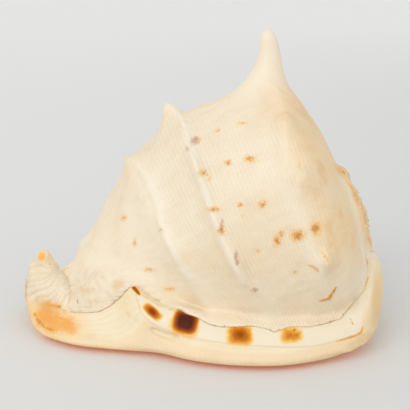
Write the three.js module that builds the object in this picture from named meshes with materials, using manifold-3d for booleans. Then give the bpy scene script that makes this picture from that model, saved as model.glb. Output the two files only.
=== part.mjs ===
// A horned helmet shell lying on its mouth. It grew as one piece, so it is one solid.
// Millimetres, +Z up, origin on the ground under the middle of the shell. The spire points to +X, the
// siphonal canal to -X, the shield of the inner lip to -Y and the outer lip to +Y.

import * as THREE from 'three';
import { ParametricGeometry } from 'three/addons/geometries/ParametricGeometry.js';
import { mergeVertices } from 'three/addons/utils/BufferGeometryUtils.js';
import Module from 'manifold-3d';

const wasm = await Module();
wasm.setup();

const DEGREE = Math.PI / 180;
const FULL_TURN = 2 * Math.PI;

// Moves the finished shell, so that the origin is under its middle.
const TO_MIDDLE = [2.8, -0.35, 0];

// The coiling axis runs from the tip of the spire down and forward, under the canal.
const APEX = new THREE.Vector3(103, -3, 73);
const AXIS_TILT = 18 * DEGREE;
const TO_FRONT = new THREE.Vector3(-Math.cos(AXIS_TILT), 0, -Math.sin(AXIS_TILT));
const TO_BACK_RIDGE = new THREE.Vector3(-Math.sin(AXIS_TILT), 0, Math.cos(AXIS_TILT));
const TO_NEAR_SIDE = new THREE.Vector3(0, -1, 0);

// Profile of the last whorl along its top: distance from the apex along the axis, and radius.
const WHORL_PROFILE = [
  [-3, 0], [-2, 5], [-1, 10], [0, 15], [1, 20], [2.3, 26], [4, 32], [8.5, 38.5], [10.5, 46], [13, 57],
  [17, 70], [23, 84], [32, 94], [46, 95], [65, 94.5], [82, 94], [95, 93], [107, 89], [120, 82.5],
  [136, 73], [147, 63], [157, 53.5], [170, 43], [182, 33], [190, 25.5], [197, 15.5], [200, 0],
];
const SHOULDER = 32;
const SMALLEST_WHORL_HEIGHT = 8;

// How the whorl shrinks round the turn: off the back ridge, and toward the older, near side. Beside the
// mouth it flares out again into the outer lip.
const FULLNESS = { offBack: 0.155, nearSide: 0.045, wholeAtRadius: 80 };
const LIP_FLARE = { turn: -122, size: 0.14, reach: 30 };
// The earlier whorls seen on the spire: radius where they start, growth a turn, the depth of the seam
// between them, and their small knobs.
const SPIRE = { radius: 38, growth: 2, seam: 3.4, knobs: 10, knobHeight: 0.6 };
const SHORTENING = { offBack: 0.13, nearSide: 0.12 };
const OUTSIDE_FADE = { from: 150, to: 200 };
const HOLLOW_FADE = { from: 120, to: 152 };

// Knobs: place along the axis, turn from the back ridge (near side positive), height, and reach toward
// the canal, toward the spire and round the turn.
const KNOBS = [
  { along: 33, turn: 0, height: 11, front: 26, spire: 9, round: 17, point: 1 },
  { along: 31, turn: 32, height: 9, front: 12, spire: 6, round: 9, point: 1.3 },
  { along: 33, turn: 55, height: 8, front: 12, spire: 6, round: 9, point: 1.3 },
  { along: 35, turn: 88, height: 7, front: 12, spire: 6, round: 9, point: 1.3 },
  { along: 30, turn: -36, height: 8, front: 14, spire: 7, round: 10, point: 1.4 },
  { along: 33, turn: -72, height: 9, front: 12, spire: 7, round: 10, point: 1.3 },
  { along: 101, turn: 0, height: 11, front: 6, spire: 10, round: 7, point: 1.3 },
  { along: 96, turn: 38, height: 5, front: 6, spire: 7, round: 11, point: 1 },
  { along: 98, turn: 77, height: 5, front: 6, spire: 7, round: 15, point: 1 },
  { along: 97, turn: 118, height: 4, front: 6, spire: 7, round: 11, point: 1 },
  { along: 97, turn: -36, height: 6, front: 6, spire: 8, round: 10, point: 1.1 },
  { along: 97, turn: -72, height: 4, front: 6, spire: 7, round: 11, point: 1 },
  { along: 135, turn: 4, height: 6, front: 5, spire: 7, round: 9, point: 1 },
  { along: 136, turn: 64, height: 4, front: 6, spire: 7, round: 13, point: 1 },
  { along: 139, turn: 115, height: 4, front: 6, spire: 7, round: 10, point: 1 },
  { along: 136, turn: -40, height: 4, front: 6, spire: 7, round: 11, point: 1 },
];

// Two low keels run round the whorl through the rows of knobs, highest on the near side.
const KEELS = [{ along: 98, height: 2.2, reach: 6 }, { along: 136, height: 1.8, reach: 6 }];
const KEEL_MIDDLE = 45;

// Outline of the base seen from above: the shield from the canal along the near side, then the outer lip.
const BASE_OUTLINE = [
  [-112, -23], [-104, -40], [-94, -50], [-77, -60], [-52, -66], [-28, -71], [-6, -82.5], [20, -89],
  [48, -88.5], [74, -78.5], [94, -64], [106, -44], [113, -24], [113.5, 5], [105, 38], [85, 64], [56, 82],
  [18, 89], [-20, 86], [-58, 74], [-88, 57], [-110, 38], [-119, 20], [-119, 4], [-116.5, -9],
];
const BASE = { rim: 3.6, nearLift: 3.2, farLift: 1.6, heelLift: 4, rise: 0.5, riseReach: 34, flatShare: 0.6 };
const SPOUT = { x: -112, y: -6, height: 36, alongX: 10, alongY: 13 };
const HEEL = { x: 108, y: -14, height: 27, alongX: 14, alongY: 32 };

// Rolls: centre points and radius at each.
const HORN = [
  [35, -3, 134, 27], [36, -3, 148, 20], [37.5, -3, 157, 12.5], [39.3, -3, 166, 8.7], [40, -3, 174, 6.6],
  [39.2, -3, 181, 5.9], [39, -3, 187.2, 5.2],
];
const OLD_LIP = [
  [-47, -40, 37, 6], [-42, -47, 31, 7.5], [-34, -54, 23.5, 9], [-14, -62.5, 18.5, 9.5],
  [15, -67, 12.8, 9.3], [48, -68, 11.5, 9.2], [79, -61, 12.8, 9], [92, -50, 19, 8.5],
  [99, -37, 29, 8], [103, -22, 37, 7], [104, -8, 40, 6],
];
const OUTER_LIP = [
  [104, -12, 40, 6], [103, 8, 37, 7.5], [97, 32, 28, 9], [84, 55, 19, 10.5], [56, 72, 14, 11],
  [18, 78, 12.5, 11], [-22, 75, 12.5, 11], [-58, 63, 13.5, 10.5], [-86, 46, 14, 9], [-106, 30, 13, 7],
];
const FASCIOLE = [
  [-110, -5, 33, 6.5], [-103, -9, 28, 10.5], [-91, -15, 24.5, 13.5], [-77, -21, 26, 14.5],
  [-65, -27, 30, 14], [-55, -31, 35, 12], [-47, -33, 42, 9],
];
const CANAL_END = [[-98, -6, 34, 6], [-102, -8, 41, 5.5], [-104, -10, 48, 4.8]];
const COLUMELLA = [[96, -3, 71, 15], [60, -3, 59, 11], [0, -3, 39.5, 9], [-60, -2, 20, 9]];

// Mouth: a narrow slit beside the columella, with teeth on the outer lip and folds on the inner.
const MOUTH = { back: 62, front: -88, y: 16, bow: 7, width: 17, height: 30, below: 5 };
const TEETH = { from: -45, to: 40, count: 7, depth: 2.6 };
const CANAL = [
  [-70, 13, 12, 6.5], [-90, 10, 13, 7], [-104, 8, 18, 7], [-113, 7, 28, 7], [-118, 6, 42, 7],
  [-121, 6, 60, 7],
];

// The last whorl is hollow: its inner profile, and the floor over the shield.
const HOLLOW_PROFILE = [
  [16, 0], [18, 38], [22, 58], [27, 76], [37, 87.5], [50, 89.5], [70, 89.5], [95, 87.5], [110, 80],
  [124, 68.5], [136, 54], [146, 37], [153, 0],
];
const HOLLOW_FLOOR = 8.5;
// The wall of the whorl before, inside the hollow: turn, inner and outer radius.
const INNER_WHORL = [
  [190, 38, 43], [212, 30, 34], [240, 31, 35], [270, 34, 38], [315, 35, 39], [360, 33, 37],
  [405, 29, 33], [450, 24, 28], [500, 16, 21], [540, 5, 12],
];
const INNER_WHORL_SPAN = { back: 24, front: 105 };

const smoothStep = (from, to, value) => THREE.MathUtils.smoothstep(value, from, to);

// 1 at a given turn in degrees, falling off over the reach on both sides of it.
function nearTurn(turn, middle, reach) {
  return Math.exp(-((2 * Math.sin((turn - middle * DEGREE) / 2) / (reach * DEGREE)) ** 2));
}

function fullness(turn, radius) {
  const shrink = FULLNESS.offBack * (1 - Math.cos(turn)) + FULLNESS.nearSide * Math.sin(turn);
  const share = Math.min(1, radius / FULLNESS.wholeAtRadius);
  return 1 - shrink * share + LIP_FLARE.size * share * nearTurn(turn, LIP_FLARE.turn, LIP_FLARE.reach);
}

// The earlier whorls wind up to the apex, each round and knobbed, with a seam between them. The result
// is how far the surface stands out toward the spire.
function spireHeight(turn, radius) {
  const winding = turn / FULL_TURN + Math.log(Math.max(radius, 1) / SPIRE.radius) / Math.log(SPIRE.growth);
  const round = (1 - Math.cos(FULL_TURN * winding)) / 2;
  const knobs = SPIRE.knobHeight * (1 + Math.cos(SPIRE.knobs * turn));
  const share = smoothStep(3, 12, radius) * (1 - smoothStep(SPIRE.radius - 4, SPIRE.radius + 2, radius));
  return (knobs * round - SPIRE.seam * (1 - round)) * share;
}

function axialPlace(turn, along, fade = OUTSIDE_FADE) {
  if (along <= SHOULDER) {
    return along;
  }
  const cut = SHORTENING.offBack * (1 - Math.cos(turn)) + SHORTENING.nearSide * Math.sin(turn);
  const share = 1 - cut * (1 - smoothStep(fade.from, fade.to, along));
  return SHOULDER + (along - SHOULDER) * share;
}

// Height of the keels and knobs over the whorl: each falls off with the distance from its middle.
function knobHeight(turn, along, radius) {
  let height = 0;
  const nearness = (1 + Math.cos(turn - KEEL_MIDDLE * DEGREE)) / 2;
  for (const keel of KEELS) {
    height += (keel.height * nearness) / (1 + ((along - keel.along) / keel.reach) ** 2) ** 2;
  }
  for (const knob of KNOBS) {
    const ahead = along - knob.along;
    const reach = ahead > 0 ? knob.front : knob.spire;
    const aside = (2 * Math.sin((turn - knob.turn * DEGREE) / 2) * radius) / knob.round;
    const distance = (ahead / reach) ** 2 + aside ** 2;
    height += knob.height / (1 + distance) ** (1.5 * knob.point);
  }
  return height;
}

function whorlPlace(along, radius, turn, target) {
  target.copy(APEX).addScaledVector(TO_FRONT, along);
  target.addScaledVector(TO_BACK_RIDGE, radius * Math.cos(turn));
  return target.addScaledVector(TO_NEAR_SIDE, radius * Math.sin(turn));
}

const throughPairs = (pairs) => new THREE.SplineCurve(pairs.map(([x, y]) => new THREE.Vector2(x, y)));
const profileCurve = throughPairs(WHORL_PROFILE);
const hollowCurve = throughPairs(HOLLOW_PROFILE);

function whorlPoint(u, v, target) {
  const turn = (u - 0.5) * FULL_TURN;
  const { x: along, y: radius } = profileCurve.getPoint(v);
  const body = radius * fullness(turn, radius);
  const lifted = body + (radius > 1 ? knobHeight(turn, along, body) : 0);
  whorlPlace(axialPlace(turn, along) - spireHeight(turn, radius), lifted, turn, target);
  target.z = Math.max(target.z, SMALLEST_WHORL_HEIGHT);
}

// Turns a closed geometry into a solid, its faces out and its folded-up triangles dropped.
function toSolid(geometry) {
  geometry.deleteAttribute('normal');
  geometry.deleteAttribute('uv');
  const merged = mergeVertices(geometry, 1e-3);
  const corners = merged.index.array;
  const kept = [];
  for (let i = 0; i < corners.length; i += 3) {
    const [a, b, c] = corners.slice(i, i + 3);
    if (a !== b && b !== c && c !== a) {
      kept.push(a, b, c);
    }
  }
  const build = (triVerts) => new wasm.Manifold(new wasm.Mesh({
    numProp: 3,
    vertProperties: Float32Array.from(merged.attributes.position.array),
    triVerts: Uint32Array.from(triVerts),
  }));
  const solid = build(kept);
  return solid.volume() > 0 ? solid : build(kept.reverse());
}

// Keeps the outer skin alone, so that no closed bubble is left between pieces that were joined.
function withoutBubbles(solid) {
  return solid.decompose().reduce((biggest, next) => (next.volume() > biggest.volume() ? next : biggest));
}

function toGeometry(solid) {
  const mesh = solid.getMesh();
  const geometry = new THREE.BufferGeometry();
  geometry.setAttribute('position', new THREE.BufferAttribute(mesh.vertProperties, 3));
  geometry.setIndex(new THREE.BufferAttribute(mesh.triVerts, 1));
  geometry.computeVertexNormals();
  return geometry;
}

function whorl() {
  return toSolid(new ParametricGeometry(whorlPoint, 54, 52));
}

function bump({ x, y, height, alongX, alongY }, px, py) {
  return height * Math.exp(-(((px - x) / alongX) ** 2) - ((py - y) / alongY) ** 2);
}

// The base: its rim is round, its top climbs toward the whorl, its underside is flat in the middle.
function base() {
  const outline = new THREE.CatmullRomCurve3(
    BASE_OUTLINE.map(([x, y]) => new THREE.Vector3(x, y, 0)), true, 'catmullrom', 0.5);
  const rings = [0, 0.35, 0.6, 0.75, 0.86, 0.94, 0.98];
  const steps = [...rings.map((size) => [size, 0]), [1, 0.5], ...rings.map((size) => [size, 1]).reverse()];
  const point = (u, v, target) => {
    const edge = outline.getPoint(u);
    const [size, side] = steps[Math.round(v * (steps.length - 1))];
    const x = edge.x * size;
    const y = edge.y * size;
    const sideLift = THREE.MathUtils.lerp(BASE.nearLift, BASE.farLift, smoothStep(-20, 20, y));
    const lift = sideLift + BASE.heelLift * smoothStep(70, 110, x);
    const under = lift * Math.max(0, (size - BASE.flatShare) / (1 - BASE.flatShare)) ** 2;
    const inward = Math.min((1 - size) * edge.length(), BASE.riseReach);
    const over = lift + BASE.rim + BASE.rise * inward + bump(SPOUT, x, y) + bump(HEEL, x, y);
    target.set(x, y, THREE.MathUtils.lerp(under, over, side));
  };
  return toSolid(new ParametricGeometry(point, 72, steps.length - 1));
}

// A roll swept along its centre points, closed by a round end at both ends.
function roll(stations, slices, stacks) {
  const path = new THREE.CatmullRomCurve3(stations.map(([x, y, z]) => new THREE.Vector3(x, y, z)));
  const last = stations.length - 1;
  const radiusAt = (t) => {
    const i = Math.min(last - 1, Math.floor(t * last));
    return THREE.MathUtils.lerp(stations[i][3], stations[i + 1][3], t * last - i);
  };
  const side = new THREE.Vector3();
  const up = new THREE.Vector3();
  const point = (u, v, target) => {
    const t = (1 - Math.cos(Math.PI * v)) / 2;
    const along = path.getTangent(t);
    side.crossVectors(along, new THREE.Vector3(0.3, 0.2, 1)).normalize();
    up.crossVectors(side, along);
    const radius = radiusAt(t) * Math.sqrt(Math.max(0, 1 - (2 * t - 1) ** 12));
    target.copy(path.getPoint(t)).addScaledVector(side, radius * Math.cos(FULL_TURN * u));
    target.addScaledVector(up, radius * Math.sin(FULL_TURN * u));
  };
  return toSolid(new ParametricGeometry(point, slices, stacks));
}

function mouth() {
  const centre = (x) => MOUTH.y + MOUTH.bow * Math.cos((Math.PI * (x + 15)) / 90);
  const half = (x) => {
    const share = (x - MOUTH.front) / (MOUTH.back - MOUTH.front);
    return (MOUTH.width / 2) * Math.sqrt(Math.max(0, 1 - (2 * share - 1) ** 8));
  };
  const tooth = (x) => {
    const share = (x - TEETH.from) / (TEETH.to - TEETH.from);
    return share < 0 || share > 1 ? 0 : TEETH.depth * Math.sin(Math.PI * TEETH.count * share) ** 2;
  };
  const stations = 40;
  const outline = [];
  for (let i = 0; i <= stations; i += 1) {
    const x = THREE.MathUtils.lerp(MOUTH.front, MOUTH.back, (1 - Math.cos((Math.PI * i) / stations)) / 2);
    outline.push(new THREE.Vector2(x, centre(x) - half(x) + (i % stations ? tooth(x) * 0.6 : 0)));
  }
  for (let i = stations - 1; i > 0; i -= 1) {
    const x = THREE.MathUtils.lerp(MOUTH.front, MOUTH.back, (1 - Math.cos((Math.PI * i) / stations)) / 2);
    outline.push(new THREE.Vector2(x, centre(x) + half(x) - tooth(x)));
  }
  const shape = new THREE.Shape(outline);
  const depth = MOUTH.height + MOUTH.below;
  const geometry = new THREE.ExtrudeGeometry(shape, { depth, bevelEnabled: false });
  return toSolid(geometry.translate(0, 0, -MOUTH.below));
}

function hollow() {
  const point = (u, v, target) => {
    const turn = (u - 0.5) * FULL_TURN;
    const { x: along, y: radius } = hollowCurve.getPoint(v);
    whorlPlace(axialPlace(turn, along, HOLLOW_FADE), radius * fullness(turn, radius), turn, target);
    target.z = Math.max(target.z, HOLLOW_FLOOR);
  };
  return toSolid(new ParametricGeometry(point, 32, 14));
}

function innerWhorl() {
  const last = INNER_WHORL.length - 1;
  const point = (u, v, target) => {
    const i = Math.min(last - 1, Math.floor(v * last));
    const [turn, inner, outer] = INNER_WHORL[i].map(
      (value, k) => THREE.MathUtils.lerp(value, INNER_WHORL[i + 1][k], v * last - i));
    const angle = turn * DEGREE;
    const size = v === 0 || v === 1 ? 0 : 1;
    const back = INNER_WHORL_SPAN.back;
    const front = axialPlace(angle, INNER_WHORL_SPAN.front);
    const along = (back + front) / 2 + ((front - back) / 2) * size * Math.cos(FULL_TURN * u);
    const radius = (inner + outer) / 2 + ((outer - inner) / 2) * size * Math.sin(FULL_TURN * u);
    whorlPlace(along, radius, angle, target);
  };
  return toSolid(new ParametricGeometry(point, 10, 18));
}

function shell() {
  const outside = [base(), roll(OLD_LIP, 10, 24), roll(OUTER_LIP, 10, 20), roll(FASCIOLE, 12, 16),
    roll(CANAL_END, 10, 6), roll(HORN, 10, 12)];
  const room = hollow().subtract(roll(COLUMELLA, 8, 8)).subtract(innerWhorl());
  const filled = withoutBubbles(outside.reduce((joined, next) => joined.add(next), whorl()));
  const solid = withoutBubbles(filled.subtract(room).subtract(mouth()).subtract(roll(CANAL, 10, 12)));
  const pearl = new THREE.MeshStandardMaterial({ color: 0xf3e6cc, roughness: 0.5, metalness: 0 });
  const mesh = new THREE.Mesh(toGeometry(solid.translate(TO_MIDDLE)), pearl);
  mesh.name = 'helmet_shell';
  return mesh;
}

const part = new THREE.Group();
part.add(shell());
export default part;
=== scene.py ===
"""The looks of a horned helmet shell that lies on its mouth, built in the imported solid's frame.

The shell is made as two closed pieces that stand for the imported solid: the whorl with its knobs and tall
horn, and the shield with its lips, fasciole and spout. Lengths are millimetres until a mesh is made.
"""

import logging
from dataclasses import dataclass
from enum import Enum

import bpy
import numpy as np
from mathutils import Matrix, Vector
from mathutils.bvhtree import BVHTree

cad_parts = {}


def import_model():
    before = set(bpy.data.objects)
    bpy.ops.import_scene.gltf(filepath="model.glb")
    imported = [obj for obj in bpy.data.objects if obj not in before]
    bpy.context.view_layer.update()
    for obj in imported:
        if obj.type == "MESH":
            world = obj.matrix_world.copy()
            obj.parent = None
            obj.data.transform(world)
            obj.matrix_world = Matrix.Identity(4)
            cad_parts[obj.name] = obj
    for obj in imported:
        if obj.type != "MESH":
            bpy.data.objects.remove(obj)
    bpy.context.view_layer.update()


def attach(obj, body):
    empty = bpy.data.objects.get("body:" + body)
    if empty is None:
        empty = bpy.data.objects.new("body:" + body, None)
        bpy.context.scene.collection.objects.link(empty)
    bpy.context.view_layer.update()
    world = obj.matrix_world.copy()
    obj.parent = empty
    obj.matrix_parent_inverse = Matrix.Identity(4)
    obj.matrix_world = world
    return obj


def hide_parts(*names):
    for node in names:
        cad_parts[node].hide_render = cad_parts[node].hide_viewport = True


LOG = logging.getLogger("helmet_shell")
MM = 0.001
NODE = "helmet_shell"
SHIFT = np.array([2.8, -0.35, 0.0])
Array = np.ndarray

# How many samples a line gets, for painting and for shaping.
COARSE, FINE = 240, 900
# How far a line of sight reaches, in millimetres.
FARTHEST = 1000.0
# The field of a mark that isn't there.
NOWHERE = -1.0
# The distance kept off the seam, the seam's left end in the picture, and the height it stays under.
OFF_SEAM, SEAM_LEFT, SEAM_TOP = 9.0, 62.0, 75.0


def spline(points: Array, t: Array, closed: bool = False, centripetal: bool = False) -> Array:
    """Follows a Catmull-Rom curve through points.

    Args:
        points: One point a row.
        t: Places along the curve, 0 at its start and 1 at its end.
        closed: Whether the last point joins the first.
        centripetal: Whether the knots are spaced by the root of the chords.

    Returns:
        One curve point for each t.
    """
    count = len(points)
    spans = count if closed else count - 1
    place = np.clip(np.asarray(t, float), 0, 1) * spans
    start = np.minimum(place.astype(int), spans - 1)
    local = (place - start)[:, None]
    if closed:
        before, first, second, after = (points[(start + k) % count] for k in (-1, 0, 1, 2))
    else:
        ends = 2 * points[[0, -1]] - points[[1, -2]] if centripetal else points[[0, -1]]
        padded = np.vstack([ends[:1], points, ends[1:]])
        before, first, second, after = (padded[start + k] for k in range(4))
    if centripetal:
        gaps = [np.sqrt(np.linalg.norm(b - a, axis=1))[:, None] + 1e-9
                for a, b in ((before, first), (first, second), (second, after))]
        lead = ((first - before) / gaps[0] - (second - before) / (gaps[0] + gaps[1])
                + (second - first) / gaps[1]) * gaps[1]
        tail = ((second - first) / gaps[1] - (after - first) / (gaps[1] + gaps[2])
                + (after - second) / gaps[2]) * gaps[1]
    else:
        lead, tail = (second - before) / 2, (after - first) / 2
    return (first + lead * local + (3 * (second - first) - 2 * lead - tail) * local**2
            + (2 * (first - second) + lead + tail) * local**3)


def ripple(points: Array, wavelength: float, seed: int) -> Array:
    """Gives smooth irregular waves in space, as a sum of plane waves in seeded directions.

    Args:
        points: Places, one a row.
        wavelength: The usual length of a wave.
        seed: Picks the directions.

    Returns:
        One value from about -1 to 1 for each place.
    """
    rng = np.random.default_rng(seed)
    ways = rng.normal(size=(7, 3))
    ways *= (2 * np.pi / wavelength * rng.uniform(0.6, 1.5, 7) / np.linalg.norm(ways, axis=1))[:, None]
    return np.sin(points @ ways.T + rng.uniform(0, 6.3, 7)).sum(1) / 3.2


def find_nearest(points: Array, samples: Array) -> tuple[Array, Array]:
    """Finds the sample nearest to each point.

    Args:
        points: Points, one a row.
        samples: The places to choose from, one a row.

    Returns:
        Each point's nearest sample as an index, and its distance.
    """
    square = (points**2).sum(1)[:, None] - 2 * points @ samples.T + (samples**2).sum(1)[None, :]
    index = square.argmin(1)
    return index, np.sqrt(np.maximum(0, square[np.arange(len(points)), index]))


def cast(surface: BVHTree, eye: Array, ways: Array) -> Array:
    """Measures how far a surface lies from the eye.

    Args:
        surface: The surface in millimetres.
        eye: The eye's place.
        ways: Unit directions, one a row.

    Returns:
        The distance in each direction, not a number where the surface is missed.
    """
    found = [surface.ray_cast(Vector(eye), Vector(way), FARTHEST)[3] for way in ways.tolist()]
    return np.array([np.nan if gap is None else gap for gap in found], float)


@dataclass(frozen=True)
class Span:
    """A stretch of values over which something fades smoothly."""

    start: float
    end: float

    def rise(self, value: Array) -> Array:
        """Gives 0 before the stretch and 1 after it."""
        share = np.clip((value - self.start) / (self.end - self.start), 0, 1)
        return share * share * (3 - 2 * share)

    def fall(self, value: Array) -> Array:
        """Gives 1 before the stretch and 0 after it."""
        return 1 - self.rise(value)


@dataclass(frozen=True)
class View:
    """The camera, and places in its picture, which is 410 wide and high."""

    elevation: float = 15.0
    distance: float = 620.0
    target: tuple[float, float, float] = (2.8, -8.35, 78.0)
    focal: float = 978.0
    frame: int = 410
    sensor: float = 36.0
    clip: tuple[float, float] = (0.01, 50)

    def axes(self) -> tuple[Array, Array]:
        """Gives the picture's up direction and the direction toward the camera."""
        tilt = np.radians(self.elevation)
        return np.array([0, np.sin(tilt), np.cos(tilt)]), np.array([0, -np.cos(tilt), np.sin(tilt)])

    def eye(self) -> Array:
        """Gives the camera's place in millimetres."""
        return np.array(self.target) + self.axes()[1] * self.distance

    def place(self, points: Array) -> Array:
        """Finds where points show in the picture.

        Args:
            points: Places in millimetres, one a row.

        Returns:
            Each point's place in the picture, x to the right and y down.
        """
        up, back = self.axes()
        offset = points - np.array(self.target)
        scale = self.focal / (self.distance - offset @ back)
        middle = self.frame / 2
        return np.stack([middle + offset[:, 0] * scale, middle - offset @ up * scale], axis=1)

    def in_space(self, moves: Array) -> Array:
        """Turns moves in the picture into moves in space.

        Args:
            moves: Moves in the picture, one a row.

        Returns:
            The moves in millimetres, at the distance of the target.
        """
        up, _ = self.axes()
        return (moves[:, :1] * np.array([[1.0, 0, 0]]) - moves[:, 1:] * up) * (self.distance / self.focal)

    def add_camera(self) -> None:
        """Adds the camera that takes this view."""
        data = bpy.data.cameras.new("camera")
        data.sensor_width = self.sensor
        data.lens = self.focal / self.frame * data.sensor_width
        data.clip_start, data.clip_end = self.clip
        camera = bpy.data.objects.new("camera", data)
        camera.location = Vector(self.eye() * MM)
        camera.rotation_euler = (np.radians(90 - self.elevation), 0, 0)
        bpy.context.collection.objects.link(camera)
        bpy.context.scene.camera = camera


VIEW = View()


class Form:
    """Makes, joins and cuts closed meshes."""

    @staticmethod
    def from_grid(name: str, grid: Array) -> bpy.types.Object:
        """Makes a closed mesh from rings of points whose first and last rings are single points.

        Args:
            name: The object's name.
            grid: Points as rings, places round the ring, and x, y, z in millimetres.

        Returns:
            The object.
        """
        rings, round_, _ = grid.shape
        inner = grid[1:-1].reshape(-1, 3)
        points = np.vstack([grid[0, :1], inner, grid[-1, :1]]) * MM
        index = 1 + np.arange((rings - 2) * round_).reshape(rings - 2, round_)
        beside = np.roll(index, -1, axis=1)
        quads = np.stack([index[:-1], beside[:-1], beside[1:], index[1:]], axis=-1).reshape(-1, 4)
        last = len(points) - 1
        start = np.stack([np.zeros(round_, int), beside[0], index[0]], axis=-1)
        end = np.stack([np.full(round_, last), index[-1], beside[-1]], axis=-1)
        mesh = bpy.data.meshes.new(name)
        mesh.from_pydata(points.tolist(), [], start.tolist() + quads.tolist() + end.tolist())
        Form.face_out(mesh)
        return Form.add(name, mesh)

    @staticmethod
    def prism(name: str, outline: Array, low: float, high: float) -> bpy.types.Object:
        """Makes an upright prism.

        Args:
            name: The object's name.
            outline: Its outline, x and y in millimetres, one corner a row.
            low: The height of its underside.
            high: The height of its top.

        Returns:
            The object.
        """
        count = len(outline)
        points = np.vstack([np.column_stack([outline, np.full(count, z)]) for z in (low, high)]) * MM
        sides = [(i, (i + 1) % count, (i + 1) % count + count, i + count) for i in range(count)]
        caps = [tuple(range(count))[::-1], tuple(range(count, 2 * count))]
        mesh = bpy.data.meshes.new(name)
        mesh.from_pydata(points.tolist(), [], sides + caps)
        Form.face_out(mesh)
        return Form.add(name, mesh)

    @staticmethod
    def face_out(mesh: bpy.types.Mesh) -> None:
        """Turns a closed mesh's faces outward by the sign of its volume.

        Args:
            mesh: The mesh.
        """
        mesh.calc_loop_triangles()
        corners = np.empty(len(mesh.loop_triangles) * 3, np.int32)
        mesh.loop_triangles.foreach_get("vertices", corners)
        a, b, c = Form.points(mesh)[corners.reshape(-1, 3)].transpose(1, 0, 2)
        if np.einsum("ij,ij->i", a, np.cross(b, c)).sum() < 0:
            mesh.flip_normals()

    @staticmethod
    def add(name: str, mesh: bpy.types.Mesh) -> bpy.types.Object:
        """Puts a mesh into the scene and returns its object."""
        piece = bpy.data.objects.new(name, mesh)
        bpy.context.collection.objects.link(piece)
        return piece

    @staticmethod
    def points(mesh: bpy.types.Mesh) -> Array:
        """Reads a mesh's points in millimetres."""
        flat = np.empty(len(mesh.vertices) * 3, np.float32)
        mesh.vertices.foreach_get("co", flat)
        return flat.reshape(-1, 3).astype(float) / MM

    @staticmethod
    def normals(mesh: bpy.types.Mesh) -> Array:
        """Reads a mesh's point normals."""
        flat = np.empty(len(mesh.vertices) * 3, np.float32)
        mesh.vertex_normals.foreach_get("vector", flat)
        return flat.reshape(-1, 3).astype(float)

    @staticmethod
    def move(mesh: bpy.types.Mesh, points: Array) -> None:
        """Sets a mesh's points, in millimetres."""
        mesh.vertices.foreach_set("co", (points * MM).astype(np.float32).ravel())
        mesh.update()

    @staticmethod
    def store(mesh: bpy.types.Mesh, name: str, values: Array) -> None:
        """Keeps one number for each point of a mesh under a name."""
        attribute = mesh.attributes.get(name) or mesh.attributes.new(name, "FLOAT", "POINT")
        attribute.data.foreach_set("value", values.astype(np.float32))

    @staticmethod
    def read(mesh: bpy.types.Mesh, name: str) -> Array:
        """Gives the number that a mesh keeps for each point under a name."""
        values = np.empty(len(mesh.vertices), np.float32)
        mesh.attributes[name].data.foreach_get("value", values)
        return values

    @staticmethod
    def finish(mesh: bpy.types.Mesh, material: bpy.types.Material, fields: dict[str, Array]) -> None:
        """Gives a mesh its one material and the fields that it reads.

        Args:
            mesh: The mesh.
            material: The material.
            fields: One number for each point, by the field's name.
        """
        for name, values in fields.items():
            Form.store(mesh, name, values)
        mesh.materials.clear()
        mesh.materials.append(material)

    @staticmethod
    def settle(piece: bpy.types.Object) -> bpy.types.Object:
        """Makes a piece's modifiers part of its mesh.

        Args:
            piece: The piece.

        Returns:
            The same piece.
        """
        graph = bpy.context.evaluated_depsgraph_get()
        graph.update()
        mesh = bpy.data.meshes.new_from_object(piece.evaluated_get(graph))
        piece.modifiers.clear()
        piece.data = mesh
        return piece

    @staticmethod
    def combine(piece: bpy.types.Object, others: list[bpy.types.Object], operation: str,
                keep: bool = False) -> bpy.types.Object:
        """Joins or cuts a piece with others.

        Args:
            piece: The piece that changes.
            others: What it is joined or cut with.
            operation: UNION or DIFFERENCE.
            keep: Whether the others stay in the scene.

        Returns:
            The piece.
        """
        for other in others:
            step = piece.modifiers.new("step", "BOOLEAN")
            step.operation, step.solver, step.object = operation, "MANIFOLD", other
            Form.settle(piece)
            if not keep:
                bpy.data.objects.remove(other)
        return piece

    @staticmethod
    def soften(piece: bpy.types.Object, voxel: float, rounds: int) -> bpy.types.Object:
        """Remeshes a piece evenly and smooths its creases.

        Args:
            piece: The piece.
            voxel: The size of the new faces in millimetres.
            rounds: How many times it is smoothed.

        Returns:
            The piece.
        """
        step = piece.modifiers.new("step", "REMESH")
        step.mode, step.voxel_size, step.adaptivity = "VOXEL", voxel * MM, 0
        smoothing = piece.modifiers.new("smooth", "SMOOTH")
        smoothing.factor, smoothing.iterations = 0.5, rounds
        return Form.settle(piece)


class Tone(Enum):
    """The kinds of coloured mark on the shell. The value names the field that a mesh keeps for it."""

    RUST = "rust"
    PLUM = "plum"
    BARK = "bark"
    AMBER = "amber"
    TAN = "tan"
    PALE = "callus"


@dataclass(frozen=True)
class Mark:
    """One coloured mark: its middle and half sizes in the picture, its turn in degrees and its strength."""

    x: float
    y: float
    wide: float
    tall: float
    tone: Tone = Tone.RUST
    turn: float = 0.0
    strength: float = 1.0
    square: float = 2.0

    def field(self, places: Array) -> Array:
        """Gives the mark's field over a surface.

        Args:
            places: Picture places of the surface's points.

        Returns:
            The strength at the middle, 0 at the edge and less outside.
        """
        angle = np.radians(self.turn)
        dx, dy = (places - (self.x, self.y)).T
        across = np.abs(dx * np.cos(angle) + dy * np.sin(angle)) / self.wide
        down = np.abs(dy * np.cos(angle) - dx * np.sin(angle)) / self.tall
        return self.strength - (across**self.square + down**self.square) ** (1 / self.square)


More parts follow.
